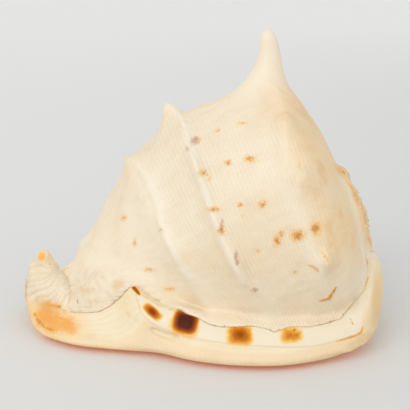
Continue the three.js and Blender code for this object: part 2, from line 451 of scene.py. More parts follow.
@dataclass(frozen=True)
class Line:
    """A thin line over the near side, through places in the picture."""

    places: tuple[tuple[float, float], ...]

    def curve(self, count: int) -> Array:
        """Gives places spaced along the line."""
        return spline(np.array(self.places, float), np.linspace(0, 1, count))

    def below(self, places: Array) -> Array:
        """Gives how far below the line each picture place lies, negative above it."""
        x, y = np.array(self.places).T
        return places[:, 1] - np.interp(places[:, 0], x, y)

    def distance(self, places: Array) -> Array:
        """Gives each picture place's distance from the line."""
        return find_nearest(places, self.curve(COARSE))[1]

    def gather(self, places: Array, reach: float) -> Array:
        """Draws picture places that lie close to the line toward it.

        Args:
            places: Places in the picture, one a row.
            reach: How far from the line it acts.

        Returns:
            The moved places.
        """
        samples = self.curve(FINE)
        closest = samples[find_nearest(places, samples)[0]]
        offset = places - closest
        share = np.minimum(1, np.linalg.norm(offset, axis=1) / reach)
        return closest + offset * (share**2)[:, None]

    def side(self, places: Array) -> Array:
        """Finds the side of the line that places lie on, by the crossings straight below them.

        Args:
            places: Places in the picture, one a row.

        Returns:
            The distance from the line, negative above it.
        """
        line = np.array(self.places, float)
        x, y = places.T
        crossings = np.zeros(len(places), int)
        for (ax, ay), (bx, by) in zip(line[:-1], line[1:]):
            span = (x >= min(ax, bx)) & (x < max(ax, bx))
            level = ay + (by - ay) * (x - ax) / (bx - ax) if bx != ax else ay
            crossings += span & (y < level)
        return self.distance(places) * np.where(crossings % 2 == 1, -1, 1)


@dataclass(frozen=True)
class Stroke:
    """A thin coloured stroke through places in the picture, narrow at its ends."""

    places: tuple[tuple[float, float], ...]
    half: float = 0.8
    tone: Tone = Tone.BARK
    strength: float = 1.0
    samples: int = 60
    margin: float = 6.0

    def field(self, places: Array) -> Array:
        """Gives the stroke's field over a surface.

        Args:
            places: Picture places of the surface's points.

        Returns:
            The strength on the line and less beside it.
        """
        line = np.array(self.places, float)
        margin = self.margin * self.half
        close = ((places > line.min(0) - margin) & (places < line.max(0) + margin)).all(1)
        result = np.full(len(places), NOWHERE)
        if close.any():
            samples = spline(line, np.linspace(0, 1, self.samples))
            gap = np.linalg.norm(places[close][:, None] - samples[None], axis=2)
            taper = np.sqrt(np.sin(np.pi * (gap.argmin(1) + 0.5) / self.samples))
            result[close] = self.strength - gap.min(1) / (self.half * taper)
        return result


# The line where the whorl ends over the old lip, and the same line with its start round the fasciole.
SEAM = Line((
    (128, 281), (136, 289), (146, 298), (162, 307), (180, 312), (196, 317), (209, 324), (222, 327),
    (235, 327), (251, 326), (267, 329), (275, 332), (290, 327), (309, 327), (324, 324), (340, 319),
    (350, 307), (366, 288),
))
EDGE = Line((
    (60, 258), (56, 272), (52, 286), (50, 299), (54, 305), (61, 309.5), (70, 312), (84, 313), (97, 312),
    (106, 308.5), (113, 304), (121, 297), (128, 289), (132, 284.5),
) + SEAM.places[1:])

# The crease below the old lip.
CREASE = Line((
    (136, 293), (140, 309), (146, 318), (157, 326), (183, 336), (209, 341), (235, 344), (261, 346),
    (288, 347), (314, 346), (340, 340), (362, 334),
))


@dataclass(frozen=True)
class Rib:
    """A low rib down the whorl: places in the picture, its height, and its reach to the left and right."""

    places: tuple[tuple[float, float], ...]
    height: float
    left: float
    right: float
    taper: float = 12.0

    def rise(self, places: Array) -> Array:
        """Gives the rib's height, which falls off to both sides and at its ends.

        Args:
            places: Places in the picture, one a row.

        Returns:
            The height in millimetres.
        """
        x, y = np.array(self.places).T
        aside = places[:, 0] - np.interp(places[:, 1], y, x)
        reach = np.where(aside < 0, self.left, self.right)
        ends = Span(y[0] - self.taper, y[0] + self.taper).rise(places[:, 1])
        ends *= Span(y[-1] - self.taper, y[-1] + self.taper).fall(places[:, 1])
        return self.height * np.exp(-(aside / reach) ** 2) * ends


RIBS = (
    Rib(((172, 104), (185, 125), (195, 161), (204, 186), (212, 211), (220, 236), (231, 261), (244, 284)),
        2.0, 4.5, 3.4),
    Rib(((134, 160), (149, 182), (157, 205), (162, 227), (170, 248), (181, 269), (197, 294), (212, 314)),
        1.6, 3.2, 8),
    Rib(((276, 84), (283, 105), (287, 130), (292, 152), (298, 184), (304, 212), (311, 240), (319, 262),
         (326, 290)), 1.0, 13, 5),
    Rib(((282, 114), (286, 128), (288, 150), (289, 160)), 1.8, 9, 3),
    Rib(((293, 174), (299, 186), (300, 202)), 1.8, 9, 3),
    Rib(((306, 240), (314, 252), (320, 266), (324, 280)), 1.8, 7, 4),
)

WHORL_MARKS = (
    Mark(242, 123, 8, 3, strength=0.6), Mark(218, 131, 4, 3, strength=0.7), Mark(195, 141, 7, 6, Tone.PLUM),
    Mark(197, 139, 5, 3, strength=0.7), Mark(188, 149, 5, 5, Tone.PLUM, strength=0.7),
    Mark(203, 173, 6, 4), Mark(209, 179, 3, 3, strength=0.8), Mark(228, 163, 4, 3), Mark(250, 159, 7, 4),
    Mark(299, 165, 4, 6, strength=0.4), Mark(124, 218, 4, 4, strength=0.8),
    Mark(135, 243, 3, 5, strength=0.8), Mark(161, 230, 5, 5, Tone.PLUM, strength=0.7),
    Mark(214, 209, 8, 3), Mark(222, 225, 3, 9, Tone.PLUM), Mark(221, 231, 4, 5), Mark(240, 205, 4, 3),
    Mark(243, 216, 4, 3, strength=0.5), Mark(263, 204, 5, 4, turn=-30), Mark(277, 241, 5, 6),
    Mark(281, 234, 4, 4), Mark(298, 235, 7, 6, strength=1.2), Mark(316, 229, 5, 6, strength=1.2),
    Mark(332, 222, 4, 3, strength=0.5), Mark(258, 251, 4, 3, strength=0.6), Mark(236, 256, 3, 8, Tone.PLUM),
    Mark(237, 262, 3, 5, Tone.PLUM), Mark(255, 290, 5, 4, Tone.PLUM, strength=0.9),
    Mark(295, 272, 4, 3, strength=0.5), Mark(327, 259, 3, 3, strength=0.5),
    Mark(150, 270, 8, 3, strength=0.7), Mark(169, 289, 8, 3, strength=0.7),
    Stroke(((319, 301), (328, 299), (332, 294), (337, 286)), 1.9, Tone.RUST, 1.2),
    Stroke(((308, 265), (315, 268), (320, 273)), 2.0, Tone.RUST, 0.8),
    Stroke(((319, 251), (325, 256), (329, 264)), 2.0, Tone.RUST, 0.6),
    Stroke(((59, 273), (64, 270), (70, 267)), 1.4, Tone.BARK, 0.5),
    Mark(58, 292, 18, 10, Tone.AMBER, 30, 0.5),
    Stroke(((334, 168), (343, 182), (351, 200), (357, 220), (361, 240), (365, 266)), 2.8, Tone.PALE, 1.4),
    Stroke(((340, 170), (348, 184), (356, 204), (362, 226), (366, 246)), 0.9, Tone.RUST, 0.7),
    Mark(362, 282, 8, 26, Tone.PALE, 8, 0.9),
    Stroke(((350, 184), (355, 194), (359, 206)), 3.4, Tone.RUST, 0.6),
    Stroke(((360, 200), (364, 214), (366, 226)), 3, Tone.RUST, 0.6),
    Stroke(((367, 226), (369, 238), (372, 248)), 3, Tone.RUST, 0.55),
    Mark(373, 246, 3, 4, Tone.AMBER, 0, 0.6), Mark(342, 168, 8, 9, Tone.RUST, 0, 0.9),
    Stroke(((337, 157), (341, 166), (346, 176)), 2.0, Tone.BARK, 0.7),
    Stroke(((366, 258), (369, 270), (368, 282)), 1.6, Tone.RUST, 0.8),
    Mark(84, 290, 34, 16, Tone.TAN, 0, 0.55), Mark(119, 285, 13, 9, Tone.TAN, -20, 0.8),
)

SHIELD_MARKS = (
    Stroke(((130, 283), (135, 289), (140, 295)), 2.6, Tone.BARK, 0.9),
    Mark(152.5, 312, 10.5, 5, Tone.BARK, 42, 1.05, 3), Mark(184, 326, 21, 16.5, Tone.BARK, 16, 0.6, 3.5),
    Mark(185.5, 322, 5.4, 5.0, Tone.BARK, 14, 2.5, 3.5), Mark(240, 335, 15.5, 13, Tone.BARK, 0, 0.8, 3),
    Mark(290, 335, 19, 17, Tone.BARK, 0, 0.47, 3), Mark(296, 335.5, 16, 13, Tone.BARK, 0, 0.4, 3),
    Mark(294, 330, 5, 3.4, Tone.BARK, 0, 0.55),
    Stroke(((369, 276), (365, 284), (362, 293)), 1.5, Tone.RUST, 1.1),
    Stroke(((358, 291), (354, 299), (350, 306)), 1.1, Tone.RUST, 1.0),
    Stroke(((334, 342), (348, 338), (360, 333), (363, 325)), 1.3, Tone.RUST, 1.2),
    Stroke(((354, 336), (361, 332), (363, 326)), 1.4, Tone.BARK, 0.5),
    Stroke(((350, 318), (354, 326)), 1.4, Tone.RUST, 0.7),
    Mark(67, 325, 14, 9, Tone.AMBER, 8, 1.3), Mark(52, 321, 15, 11, Tone.AMBER, 20, 1.4),
    Mark(52, 306, 11, 5, Tone.AMBER, 15, 1.0), Mark(43, 311, 14, 15, Tone.TAN, 0, 1.1),
    Mark(40, 318, 9, 16, Tone.AMBER, 0, 0.4),
    Stroke(((34, 312), (38, 320), (45, 327), (55, 331)), 2.6, Tone.RUST, 1.1),
    Stroke(((50, 312), (58, 318), (70, 320)), 2.4, Tone.RUST, 0.7),
    Stroke(((46, 322), (58, 326), (72, 328)), 2.4, Tone.RUST, 0.6),
    Stroke(((46, 304), (54, 306), (62, 307)), 2.4, Tone.RUST, 0.8),
    Mark(84, 290, 34, 16, Tone.TAN, 0, 0.55), Mark(376, 300, 6, 34, Tone.TAN, 3, 1.25),
    Mark(362, 340, 24, 6, Tone.TAN, -30, 1.1), Mark(366, 288, 7, 32, Tone.PALE, 8, 1.2),
    Mark(352, 318, 12, 12, Tone.PALE, 0, 0.6),
    # A thin tan line down the crease below the old lip: painted shade in the crease.
    Stroke(((136, 295), (141, 310), (148, 319), (160, 328), (183, 336)), 0.7, Tone.TAN, 1.1),
    Stroke(((31, 324), (39, 333), (52, 340), (78, 345.5), (118, 349.5)), 1.6, Tone.AMBER, 0.9),
    Mark(85, 336, 50, 10, Tone.TAN, 4, 0.45), Mark(25, 290, 1.8, 30, Tone.TAN, 0, 1.5),
)

# The middle of the canal end in the picture.
RING_MIDDLE = (41.7, 256.5)


@dataclass(frozen=True)
class Fan:
    """The pleats that fan out from the notch over the fasciole and the spout, by places in the picture."""

    middle: tuple[float, float] = (70, 264)
    edge: Line = Line((
        (15, 300), (40, 302), (62, 310), (77, 313), (97, 312), (112, 305), (122, 297), (132, 284), (150, 262),
    ))
    above: Span = Span(-2, 2.5)
    starts: Span = Span(6, 16)
    ends: Span = Span(48, 66)
    turned: Span = Span(2, 22)
    far_side: float = 4.0
    height: float = 0.6

    def pleats(self, points: Array) -> tuple[Array, Array]:
        """Finds the pleats on a surface.

        Args:
            points: Places on the surface, one a row.

        Returns:
            Where the pleats are, from 0 to 1, and their wave.
        """
        places = VIEW.place(points)
        dx, dy = (places - self.middle).T
        angle, reach = np.degrees(np.arctan2(dy, dx)), np.hypot(dx, dy)
        share = self.above.fall(self.edge.below(places)) * self.starts.rise(reach) * self.ends.fall(reach)
        share *= self.turned.rise(angle) * (points[:, 1] < self.far_side)
        bend = angle + 5 * ripple(points, 24, 31) - 0.25 * reach
        coarse, fine = np.radians(bend * 36), np.radians(bend * 81) + 2 * ripple(points, 16, 8)
        return share, 0.65 * np.sin(coarse) + 0.35 * np.sin(fine)


FAN = Fan()


def waves(points: Array, table: tuple[tuple[float, float, int], ...]) -> Array:
    """Adds up ripples over a surface.

    Args:
        points: Places on the surface, one a row.
        table: The height, wavelength and seed of each ripple.

    Returns:
        The height at each place.
    """
    return sum(height * ripple(points, wavelength, seed) for height, wavelength, seed in table)


# The stretch of y over which all marks end toward the far side.
MARKS_END = Span(-14, 10)


def paint_marks(mesh: bpy.types.Mesh, marks: tuple[Mark | Stroke, ...], facing: Array) -> None:
    """Keeps the field of each tone on a mesh, and lets it fade before the far side.

    Args:
        mesh: The mesh.
        marks: The marks it carries.
        facing: For each point, whether it is on the side that the camera sees.
    """
    points = Form.points(mesh)
    places = VIEW.place(points)
    for kind in Tone:
        total = np.full(len(points), NOWHERE)
        for mark in marks:
            if mark.tone is kind:
                total = np.maximum(total, np.where(facing, mark.field(places), NOWHERE))
        Form.store(mesh, kind.value, total - 2 * MARKS_END.rise(points[:, 1]))


def seam_distance(points: Array, facing: Array) -> Array:
    """Gives each point's distance from the whorl's edge in the picture, and a large one off the seam.

    Args:
        points: Places on a surface.
        facing: For each point, whether it is on the side that the camera sees.

    Returns:
        The distance in pixels.
    """
    places = VIEW.place(points)
    left = OFF_SEAM * (places[:, 0] < SEAM_LEFT)
    return np.where(facing & (points[:, 2] < SEAM_TOP), EDGE.distance(places) + left, OFF_SEAM)


@dataclass(frozen=True)
class Knob:
    """A knob on the whorl: its place, height, and reach to the canal, to the spire and round the turn."""

    along: float
    turn: float
    height: float
    front: float
    spire: float
    round: float
    point: float


@dataclass(frozen=True)
class Coil:
    """The shape of the last whorl round its axis: its profile, knobs and spire."""

    apex: tuple[float, float, float] = (103, -3, 73)
    tilt: float = 18.0
    shoulder: float = 32.0
    floor: float = 8.0
    profile: tuple[tuple[float, float], ...] = (
        (-0.5, 0), (0.5, 5), (1.5, 10), (2.5, 15), (3.5, 20), (4.7, 26), (6.2, 32), (9.8, 38.5), (11.2, 46),
        (13, 57), (17, 70), (23, 84), (32, 94), (46, 95), (65, 94.5), (82, 94), (95, 93), (107, 89),
        (120, 82.5), (136, 73), (147, 63), (157, 53.5), (170, 43), (182, 33), (190, 25.5), (197, 15.5),
        (200, 0),
    )
    hollow: tuple[tuple[float, float], ...] = (
        (16, 0), (18, 38), (22, 58), (27, 76), (37, 87.5), (50, 89.5), (70, 89.5), (95, 87.5), (110, 80),
        (124, 68.5), (136, 54), (146, 37), (153, 0),
    )
    hollow_floor: float = 8.5
    inner_whorl: tuple[tuple[float, float, float], ...] = (
        (190, 38, 43), (212, 30, 34), (240, 31, 35), (270, 34, 38), (315, 35, 39), (360, 33, 37),
        (405, 29, 33), (450, 24, 28), (500, 16, 21), (540, 5, 12),
    )
    inner_ends: tuple[float, float] = (24.0, 105.0)
    keels: tuple[tuple[float, float], ...] = ((98, 2.2), (136, 1.8))
    keel_turn: float = 45.0
    keel_reach: float = 6.0
    knobs: tuple[Knob, ...] = (
        Knob(33, 0, 11, 26, 9, 17, 1), Knob(31, 32, 9, 12, 6, 9, 1.3), Knob(33, 55, 8, 12, 6, 9, 1.3),
        Knob(35, 88, 7, 12, 6, 9, 1.3), Knob(30, -36, 8, 14, 7, 10, 1.4), Knob(33, -72, 9, 12, 7, 10, 1.3),
        Knob(101, 0, 11, 6, 10, 7, 1.3), Knob(96, 38, 5, 6, 7, 11, 1), Knob(98, 77, 5, 6, 7, 15, 1),
        Knob(97, 118, 4, 6, 7, 11, 1), Knob(97, -36, 6, 6, 8, 10, 1.1), Knob(97, -72, 4, 6, 7, 11, 1),
        Knob(135, 4, 6, 5, 7, 9, 1), Knob(136, 64, 4, 6, 7, 13, 1), Knob(139, 115, 4, 6, 7, 10, 1),
        Knob(136, -40, 4, 6, 7, 11, 1),
    )
    whole_radius: float = 80.0
    less_at_back: float = 0.155
    less_at_near: float = 0.045
    flare: float = 0.14
    flare_turn: float = -122.0
    flare_reach: float = 30.0
    shorter_at_back: float = 0.13
    shorter_at_near: float = 0.12
    spire_radius: float = 38.0
    spire_growth: float = 2.0
    spire_knobs: int = 10
    spire_knob_height: float = 0.6
    spire_seam: float = 3.4
    spire_start: Span = Span(3, 12)
    spire_end: Span = Span(34, 40)
    samples: int = 2000
    horn_along: float = 66.0
    horn_reach: float = 26.0
    horn_radius: float = 80.0
    closer: tuple[tuple[float, float, float], ...] = ((1.6, 0, 0.26), (0.8, 1.75, 0.4))
    wider: Span = Span(2.5, 2.8)

    def fullness(self, turn: Array, radius: Array) -> Array:
        """Gives how full the whorl is: less off the back ridge, more where it flares into the outer lip.

        Args:
            turn: Turn from the back ridge in radians, near side positive.
            radius: Radius of the profile.

        Returns:
            The share of the radius.
        """
        share = np.minimum(1, radius / self.whole_radius)
        off_lip = 2 * np.sin((turn - np.radians(self.flare_turn)) / 2) / np.radians(self.flare_reach)
        shrink = self.less_at_back * (1 - np.cos(turn)) + self.less_at_near * np.sin(turn)
        return 1 - shrink * share + self.flare * share * np.exp(-(off_lip**2))

    def axial(self, turn: Array, along: Array, fade: Span = Span(150, 200)) -> Array:
        """Shortens the whorl off the back ridge.

        Args:
            turn: Turn in radians.
            along: Place along the profile.
            fade: Where the shortening stops.

        Returns:
            The place along the axis.
        """
        cut = self.shorter_at_back * (1 - np.cos(turn)) + self.shorter_at_near * np.sin(turn)
        share = 1 - cut * fade.fall(along)
        return np.where(along <= self.shoulder, along, self.shoulder + (along - self.shoulder) * share)

    def knob_height(self, turn: Array, along: Array, radius: Array) -> Array:
        """Adds up the keels and knobs, each falling off with the distance from its middle.

        Args:
            turn: Turn in radians.
            along: Place along the profile.
            radius: Radius there.

        Returns:
            The height over the whorl.
        """
        height = np.zeros(np.broadcast(turn, along, radius).shape)
        nearness = (1 + np.cos(turn - np.radians(self.keel_turn))) / 2
        for place, rise in self.keels:
            height += rise * nearness / (1 + ((along - place) / self.keel_reach) ** 2) ** 2
        for knob in self.knobs:
            ahead = along - knob.along
            reach = np.where(ahead > 0, knob.front, knob.spire)
            aside = 2 * np.sin((turn - np.radians(knob.turn)) / 2) * radius / knob.round
            height += knob.height / (1 + (ahead / reach) ** 2 + aside**2) ** (1.5 * knob.point)
        return height

    def spire_height(self, turn: Array, radius: Array) -> Array:
        """Winds the earlier whorls up to the apex: round, knobbed, with a seam between them.

        Args:
            turn: Turn in radians.
            radius: Radius of the profile.

        Returns:
            How far they stand out toward the spire.
        """
        growth = np.log(np.maximum(radius, 1) / self.spire_radius) / np.log(self.spire_growth)
        round_ = (1 - np.cos(turn + 2 * np.pi * growth)) / 2
        knobs = self.spire_knob_height * (1 + np.cos(self.spire_knobs * turn))
        share = self.spire_start.rise(radius) * self.spire_end.fall(radius)
        return (knobs * round_ - self.spire_seam * (1 - round_) ** 1.5) * share

    def place(self, along: Array, radius: Array, turn: Array) -> Array:
        """Turns a place on the coil into x, y, z.

        Args:
            along: Place along the axis.
            radius: Radius from the axis.
            turn: Turn in radians.

        Returns:
            The place in millimetres.
        """
        tilt = np.radians(self.tilt)
        front = np.array([-np.cos(tilt), 0, -np.sin(tilt)])
        ridge = np.array([-np.sin(tilt), 0, np.cos(tilt)])
        near = np.array([0, -1, 0])
        along, radius, turn = (value[..., None] for value in np.broadcast_arrays(along, radius, turn))
        return (np.array(self.apex) + SHIFT + along * front
                + radius * (np.cos(turn) * ridge + np.sin(turn) * near))

    def rows(self, count: int) -> Array:
        """Spaces places along the profile by its length, closer where the horn stands.

        Args:
            count: How many places.

        Returns:
            Their shares of the profile.
        """
        curve = spline(np.array(self.profile, float), np.linspace(0, 1, self.samples))
        step = np.linalg.norm(np.diff(curve, axis=0), axis=1)
        at_horn = np.exp(-(((curve[1:, 0] - self.horn_along) / self.horn_reach) ** 2))
        step *= 1 + 1.3 * at_horn * (curve[1:, 1] > self.horn_radius)
        length = np.concatenate([[0], np.cumsum(step)])
        return np.interp(np.linspace(0, length[-1], count), length, np.linspace(0, 1, self.samples))

    def turns(self, count: int) -> Array:
        """Spaces turns from -180 to 180 degrees, closer at the horn and wider inside the shield.

        Args:
            count: How many turns.

        Returns:
            The turns in radians.
        """
        turn = np.linspace(-np.pi, np.pi, 2 * self.samples)
        density = np.ones(len(turn))
        for more, middle, reach in self.closer:
            density += more * np.exp(-(((turn - middle) / reach) ** 2))
        density *= 1 - 0.7 * self.wider.rise(np.abs(turn))
        length = np.concatenate([[0], np.cumsum((density[1:] + density[:-1]) / 2)])
        return np.interp(np.linspace(0, length[-1], count, endpoint=False), length, turn)


COIL = Coil()


@dataclass(frozen=True)
class Horn:
    """The tall horn, drawn up out of the whorl: middle in x and y, radius and height at each share."""

    x: float = 35.0
    y: float = -3.0
    foot: float = 29.0
    above: float = 100.0
    joint: Span = Span(0.72, 1)
    stations: tuple[tuple[float, float, float, float], ...] = (
        (0, 38.2, 0, 187.2), (0.07, 38.2, 2.2, 186.8), (0.13, 38.4, 3.9, 185.2), (0.19, 38.8, 5, 182.4),
        (0.26, 39.2, 5.7, 179), (0.36, 39.7, 6.5, 174), (0.48, 39.2, 8.4, 166.5), (0.61, 37.6, 12.3, 157.5),
        (0.78, 36, 19, 149), (1, 35, 29, 141),
    )

    def draw_up(self, points: Array) -> Array:
        """Moves the whorl's points near the horn's foot onto the horn.

        Args:
            points: Points of the whorl.

        Returns:
            The points with the horn.
        """
        offset = points[:, :2] - (self.x + SHIFT[0], self.y + SHIFT[1])
        distance = np.linalg.norm(offset, axis=1)
        share = distance / self.foot
        near = (share < 1) & (points[:, 2] > self.above)
        curve = spline(np.array(self.stations, float), np.linspace(0, 1, 400))
        middle, radius, height = (np.interp(share, curve[:, 0], curve[:, k]) for k in (1, 2, 3))
        way = offset / np.maximum(distance, 1e-6)[:, None]
        x = middle + SHIFT[0] + radius * way[:, 0]
        y = self.y + SHIFT[1] + radius * way[:, 1]
        horn = np.column_stack([x, y, np.maximum(height, points[:, 2])])
        blend = self.joint.fall(share)[:, None]
        return np.where(near[:, None], points + (horn - points) * blend, points)


@dataclass(frozen=True)
class Roll:
    """A rounded roll along a path: its stations are x, y, z and radius."""

    name: str
    stations: tuple[tuple[float, float, float, float], ...]
    places: int = 161

    def line(self, t: Array) -> Array:
        """Gives the middle of the roll at each share of its length."""
        return spline(np.array(self.stations, float)[:, :3], t, centripetal=True) + SHIFT

    def radius(self, t: Array) -> Array:
        """Gives the radius at each share of the length, before the ends are rounded."""
        return np.interp(t, np.linspace(0, 1, len(self.stations)), [s[3] for s in self.stations])

    def build(self, slices: int, stacks: int) -> bpy.types.Object:
        """Makes the roll, closed by a round end at both ends.

        Args:
            slices: Faces round it.
            stacks: Rings along it.

        Returns:
            The roll.
        """
        t = (1 - np.cos(np.pi * np.linspace(0, 1, stacks + 1))) / 2
        tangent = self.line(np.minimum(1, t + 1e-4)) - self.line(np.maximum(0, t - 1e-4))
        tangent /= np.linalg.norm(tangent, axis=1)[:, None]
        side = np.cross(tangent, (0.3, 0.2, 1))
        side /= np.linalg.norm(side, axis=1)[:, None]
        up = np.cross(side, tangent)
        size = self.radius(t) * np.sqrt(np.maximum(0, 1 - (2 * t - 1) ** 12))
        angle = 2 * np.pi * np.arange(slices) / slices
        ring = side[:, None] * np.cos(angle)[:, None] + up[:, None] * np.sin(angle)[:, None]
        return Form.from_grid(self.name, self.line(t)[:, None] + size[:, None, None] * ring)

    def nearest(self, points: Array) -> tuple[Array, Array]:
        """Finds each point's place beside the roll.

        Args:
            points: Points, one a row.

        Returns:
            The share of the roll's length nearest to each point, and the distance from the roll's skin.
        """
        t = np.linspace(0, 1, self.places)
        index, gap = find_nearest(points, self.line(t))
        return t[index], gap - self.radius(t[index])


OLD_LIP = Roll("old_lip", (
    (-47, -40, 37, 6), (-42, -47, 31, 7.5), (-34, -54, 23.5, 9), (-14, -62.5, 18.5, 9.5),
    (15, -67, 12.8, 9.3), (48, -68, 11.5, 9.2), (79, -61, 12.8, 9), (92, -50, 19, 8.5), (99, -37, 29, 8),
    (103, -22, 37, 7), (104, -8, 40, 6),
))
OUTER_LIP = Roll("outer_lip", (
    (104, -12, 40, 6), (103, 8, 37, 7.5), (97, 32, 28, 9), (84, 55, 19, 10.5), (56, 72, 14, 11),
    (18, 78, 12.5, 11), (-22, 75, 12.5, 11), (-58, 63, 13.5, 10.5), (-86, 46, 14, 9), (-106, 30, 13, 7),
))
FASCIOLE = Roll("fasciole", (
    (-110, -6, 30, 7), (-103, -11, 25, 11), (-91, -19, 21, 14.5), (-77, -26, 20, 16.5),
    (-65, -30, 25, 15.5), (-55, -32, 33, 13), (-48, -33, 41, 9.5),
))
CANAL_END = Roll("canal_end", ((-98, -6, 33, 5.5), (-102.5, -8, 41, 4.8), (-104, -10, 47.6, 4.3)))
COLUMELLA = Roll("columella", ((96, -3, 71, 15), (60, -3, 59, 11), (0, -3, 39.5, 9), (-60, -2, 20, 9)))
CANAL = Roll("canal", (
    (-70, 13, 12, 6.5), (-90, 10, 13, 7), (-104, 8, 18, 7), (-113, 7, 28, 7), (-118, 6, 42, 7),
    (-121, 6, 60, 7),
))


@dataclass(frozen=True)
class Mouth:
    """The narrow mouth under the shell, with teeth on the outer lip and folds on the inner."""

    back: float = 62.0
    front: float = -88.0
    y: float = 16.0
    bow: float = 7.0
    bow_middle: float = -15.0
    bow_length: float = 90.0
    width: float = 17.0
    below: float = -5.0
    above: float = 30.0
    tooth_from: float = -45.0
    tooth_to: float = 40.0
    teeth: int = 7
    tooth_height: float = 2.6
    fold_share: float = 0.6
    lip_front: Span = Span(-92, -72)
    lip_back: Span = Span(52, 66)
    rows_front: Span = Span(-52, -44)
    rows_back: Span = Span(38, 46)
    lip_height: float = 8.0
    lip_raised: float = 2.2
    folds_raised: float = 1.3
    lip_reach: float = 7.0

    def middle(self, x: Array) -> Array:
        """Gives the y of the mouth's middle at each x."""
        return self.y + self.bow * np.cos(np.pi * (x - self.bow_middle) / self.bow_length)

    def half(self, x: Array) -> Array:
        """Gives half the mouth's width at each x."""
        share = (x - self.front) / (self.back - self.front)
        return self.width / 2 * np.sqrt(np.maximum(0, 1 - (2 * share - 1) ** 8))

    def gap(self, x: Array, y: Array) -> Array:
        """Gives how far places lie outside the mouth's sides, negative inside it."""
        return np.abs(y - self.middle(x)) - self.half(x)

    def tooth(self, x: Array) -> Array:
        """Gives how far the teeth stand into the mouth at each x."""
        share = (x - self.tooth_from) / (self.tooth_to - self.tooth_from)
        wave = self.tooth_height * np.sin(np.pi * self.teeth * share) ** 2
        return np.where((share < 0) | (share > 1), 0, wave)

    def build(self) -> bpy.types.Object:
        """Makes the space that the mouth leaves open."""
        x = self.front + (self.back - self.front) * (1 - np.cos(np.pi * np.linspace(0, 1, 121))) / 2
        near = np.column_stack([x, self.middle(x) - self.half(x) + self.fold_share * self.tooth(x)])
        far = np.column_stack([x, self.middle(x) + self.half(x) - self.tooth(x)])[1:-1][::-1]
        return Form.prism("mouth", np.vstack([near, far]) + SHIFT[:2], self.below, self.above)


MOUTH = Mouth()


@dataclass(frozen=True)
class Room:
    """The space inside the last whorl, round the columella and the whorl before."""

    rings: int = 57
    round: int = 128
    stacks: int = 73
    slices: int = 20
    fade: Span = Span(120, 152)

    def build(self) -> bpy.types.Object:
        """Makes the space as one solid that cuts the walls."""
        profile = spline(np.array(COIL.hollow, float), np.linspace(0, 1, self.rings))
        turn = np.linspace(-np.pi, np.pi, self.round, endpoint=False)[None, :]
        along, radius = profile[:, :1], profile[:, 1:]
        grid = COIL.place(COIL.axial(turn, along, self.fade), radius * COIL.fullness(turn, radius), turn)
        grid[..., 2] = np.maximum(grid[..., 2], COIL.hollow_floor)
        room = Form.from_grid("room", grid)
        return Form.combine(room, [COLUMELLA.build(32, 40), self.inner_whorl()], "DIFFERENCE")

    def inner_whorl(self) -> bpy.types.Object:
        """Makes the wall of the whorl before, a curled sheet with rounded edges."""
        v = np.linspace(0, 1, self.stacks)
        stations = np.array(COIL.inner_whorl, float)
        share = np.linspace(0, 1, len(stations))
        turn, inner, outer = (np.interp(v, share, stations[:, k])[:, None] for k in range(3))
        turn = np.radians(turn)
        back = COIL.inner_ends[0]
        front = COIL.axial(turn, np.array(COIL.inner_ends[1]))
        angle = 2 * np.pi * np.arange(self.slices) / self.slices
        size = np.where((v == 0) | (v == 1), 0, 1)[:, None]
        along = (back + front) / 2 + (front - back) / 2 * size * np.cos(angle)
        radius = (inner + outer) / 2 + (outer - inner) / 2 * size * np.sin(angle)
        return Form.from_grid("inner_whorl", COIL.place(along, radius, turn))


class Corners:
    """Rounds the corners between the shield and the rolls on it."""

    REACH: dict[frozenset[str], float] = {
        frozenset(("shield", "old_lip")): 22, frozenset(("shield", "outer_lip")): 10,
        frozenset(("shield", "fasciole")): 3, frozenset(("shield", "canal_end")): 8,
        frozenset(("fasciole", "canal_end")): 8, frozenset(("old_lip", "fasciole")): 8,
    }
    SLOPE: float = 0.9

    def __init__(self, shield: "Shield") -> None:
        """Keeps the shield."""
        self.shield = shield

    def distances(self, points: Array) -> dict[str, Array]:
        """Measures how far each point lies outside each form.

        Args:
            points: Places in millimetres, one a row.

        Returns:
            The distances by the form's name.
        """
        found = {roll.name: roll.nearest(points)[1] for roll in (OLD_LIP, OUTER_LIP, FASCIOLE, CANAL_END)}
        x, y, z = (points - SHIFT).T
        found["shield"] = (z - self.shield.top(x, y)) * self.SLOPE
        return found

    def fill(self, points: Array) -> Array:
        """Gives how far each point of the surface is raised to round the corners.

        Args:
            points: Places on the surface.

        Returns:
            The rise at each point.
        """
        found = self.distances(points)
        names = np.array(list(found))
        mine = names[np.abs(np.array([found[name] for name in names])).argmin(0)]
        rise = np.zeros(len(points))
        for pair, reach in self.REACH.items():
            for first, second in (sorted(pair), sorted(pair, reverse=True)):
                share = np.maximum(0, 1 - np.abs(found[second]) / reach) ** 2
                rise = np.maximum(rise, np.where(mine == first, reach / 4 * share, 0))
        return rise


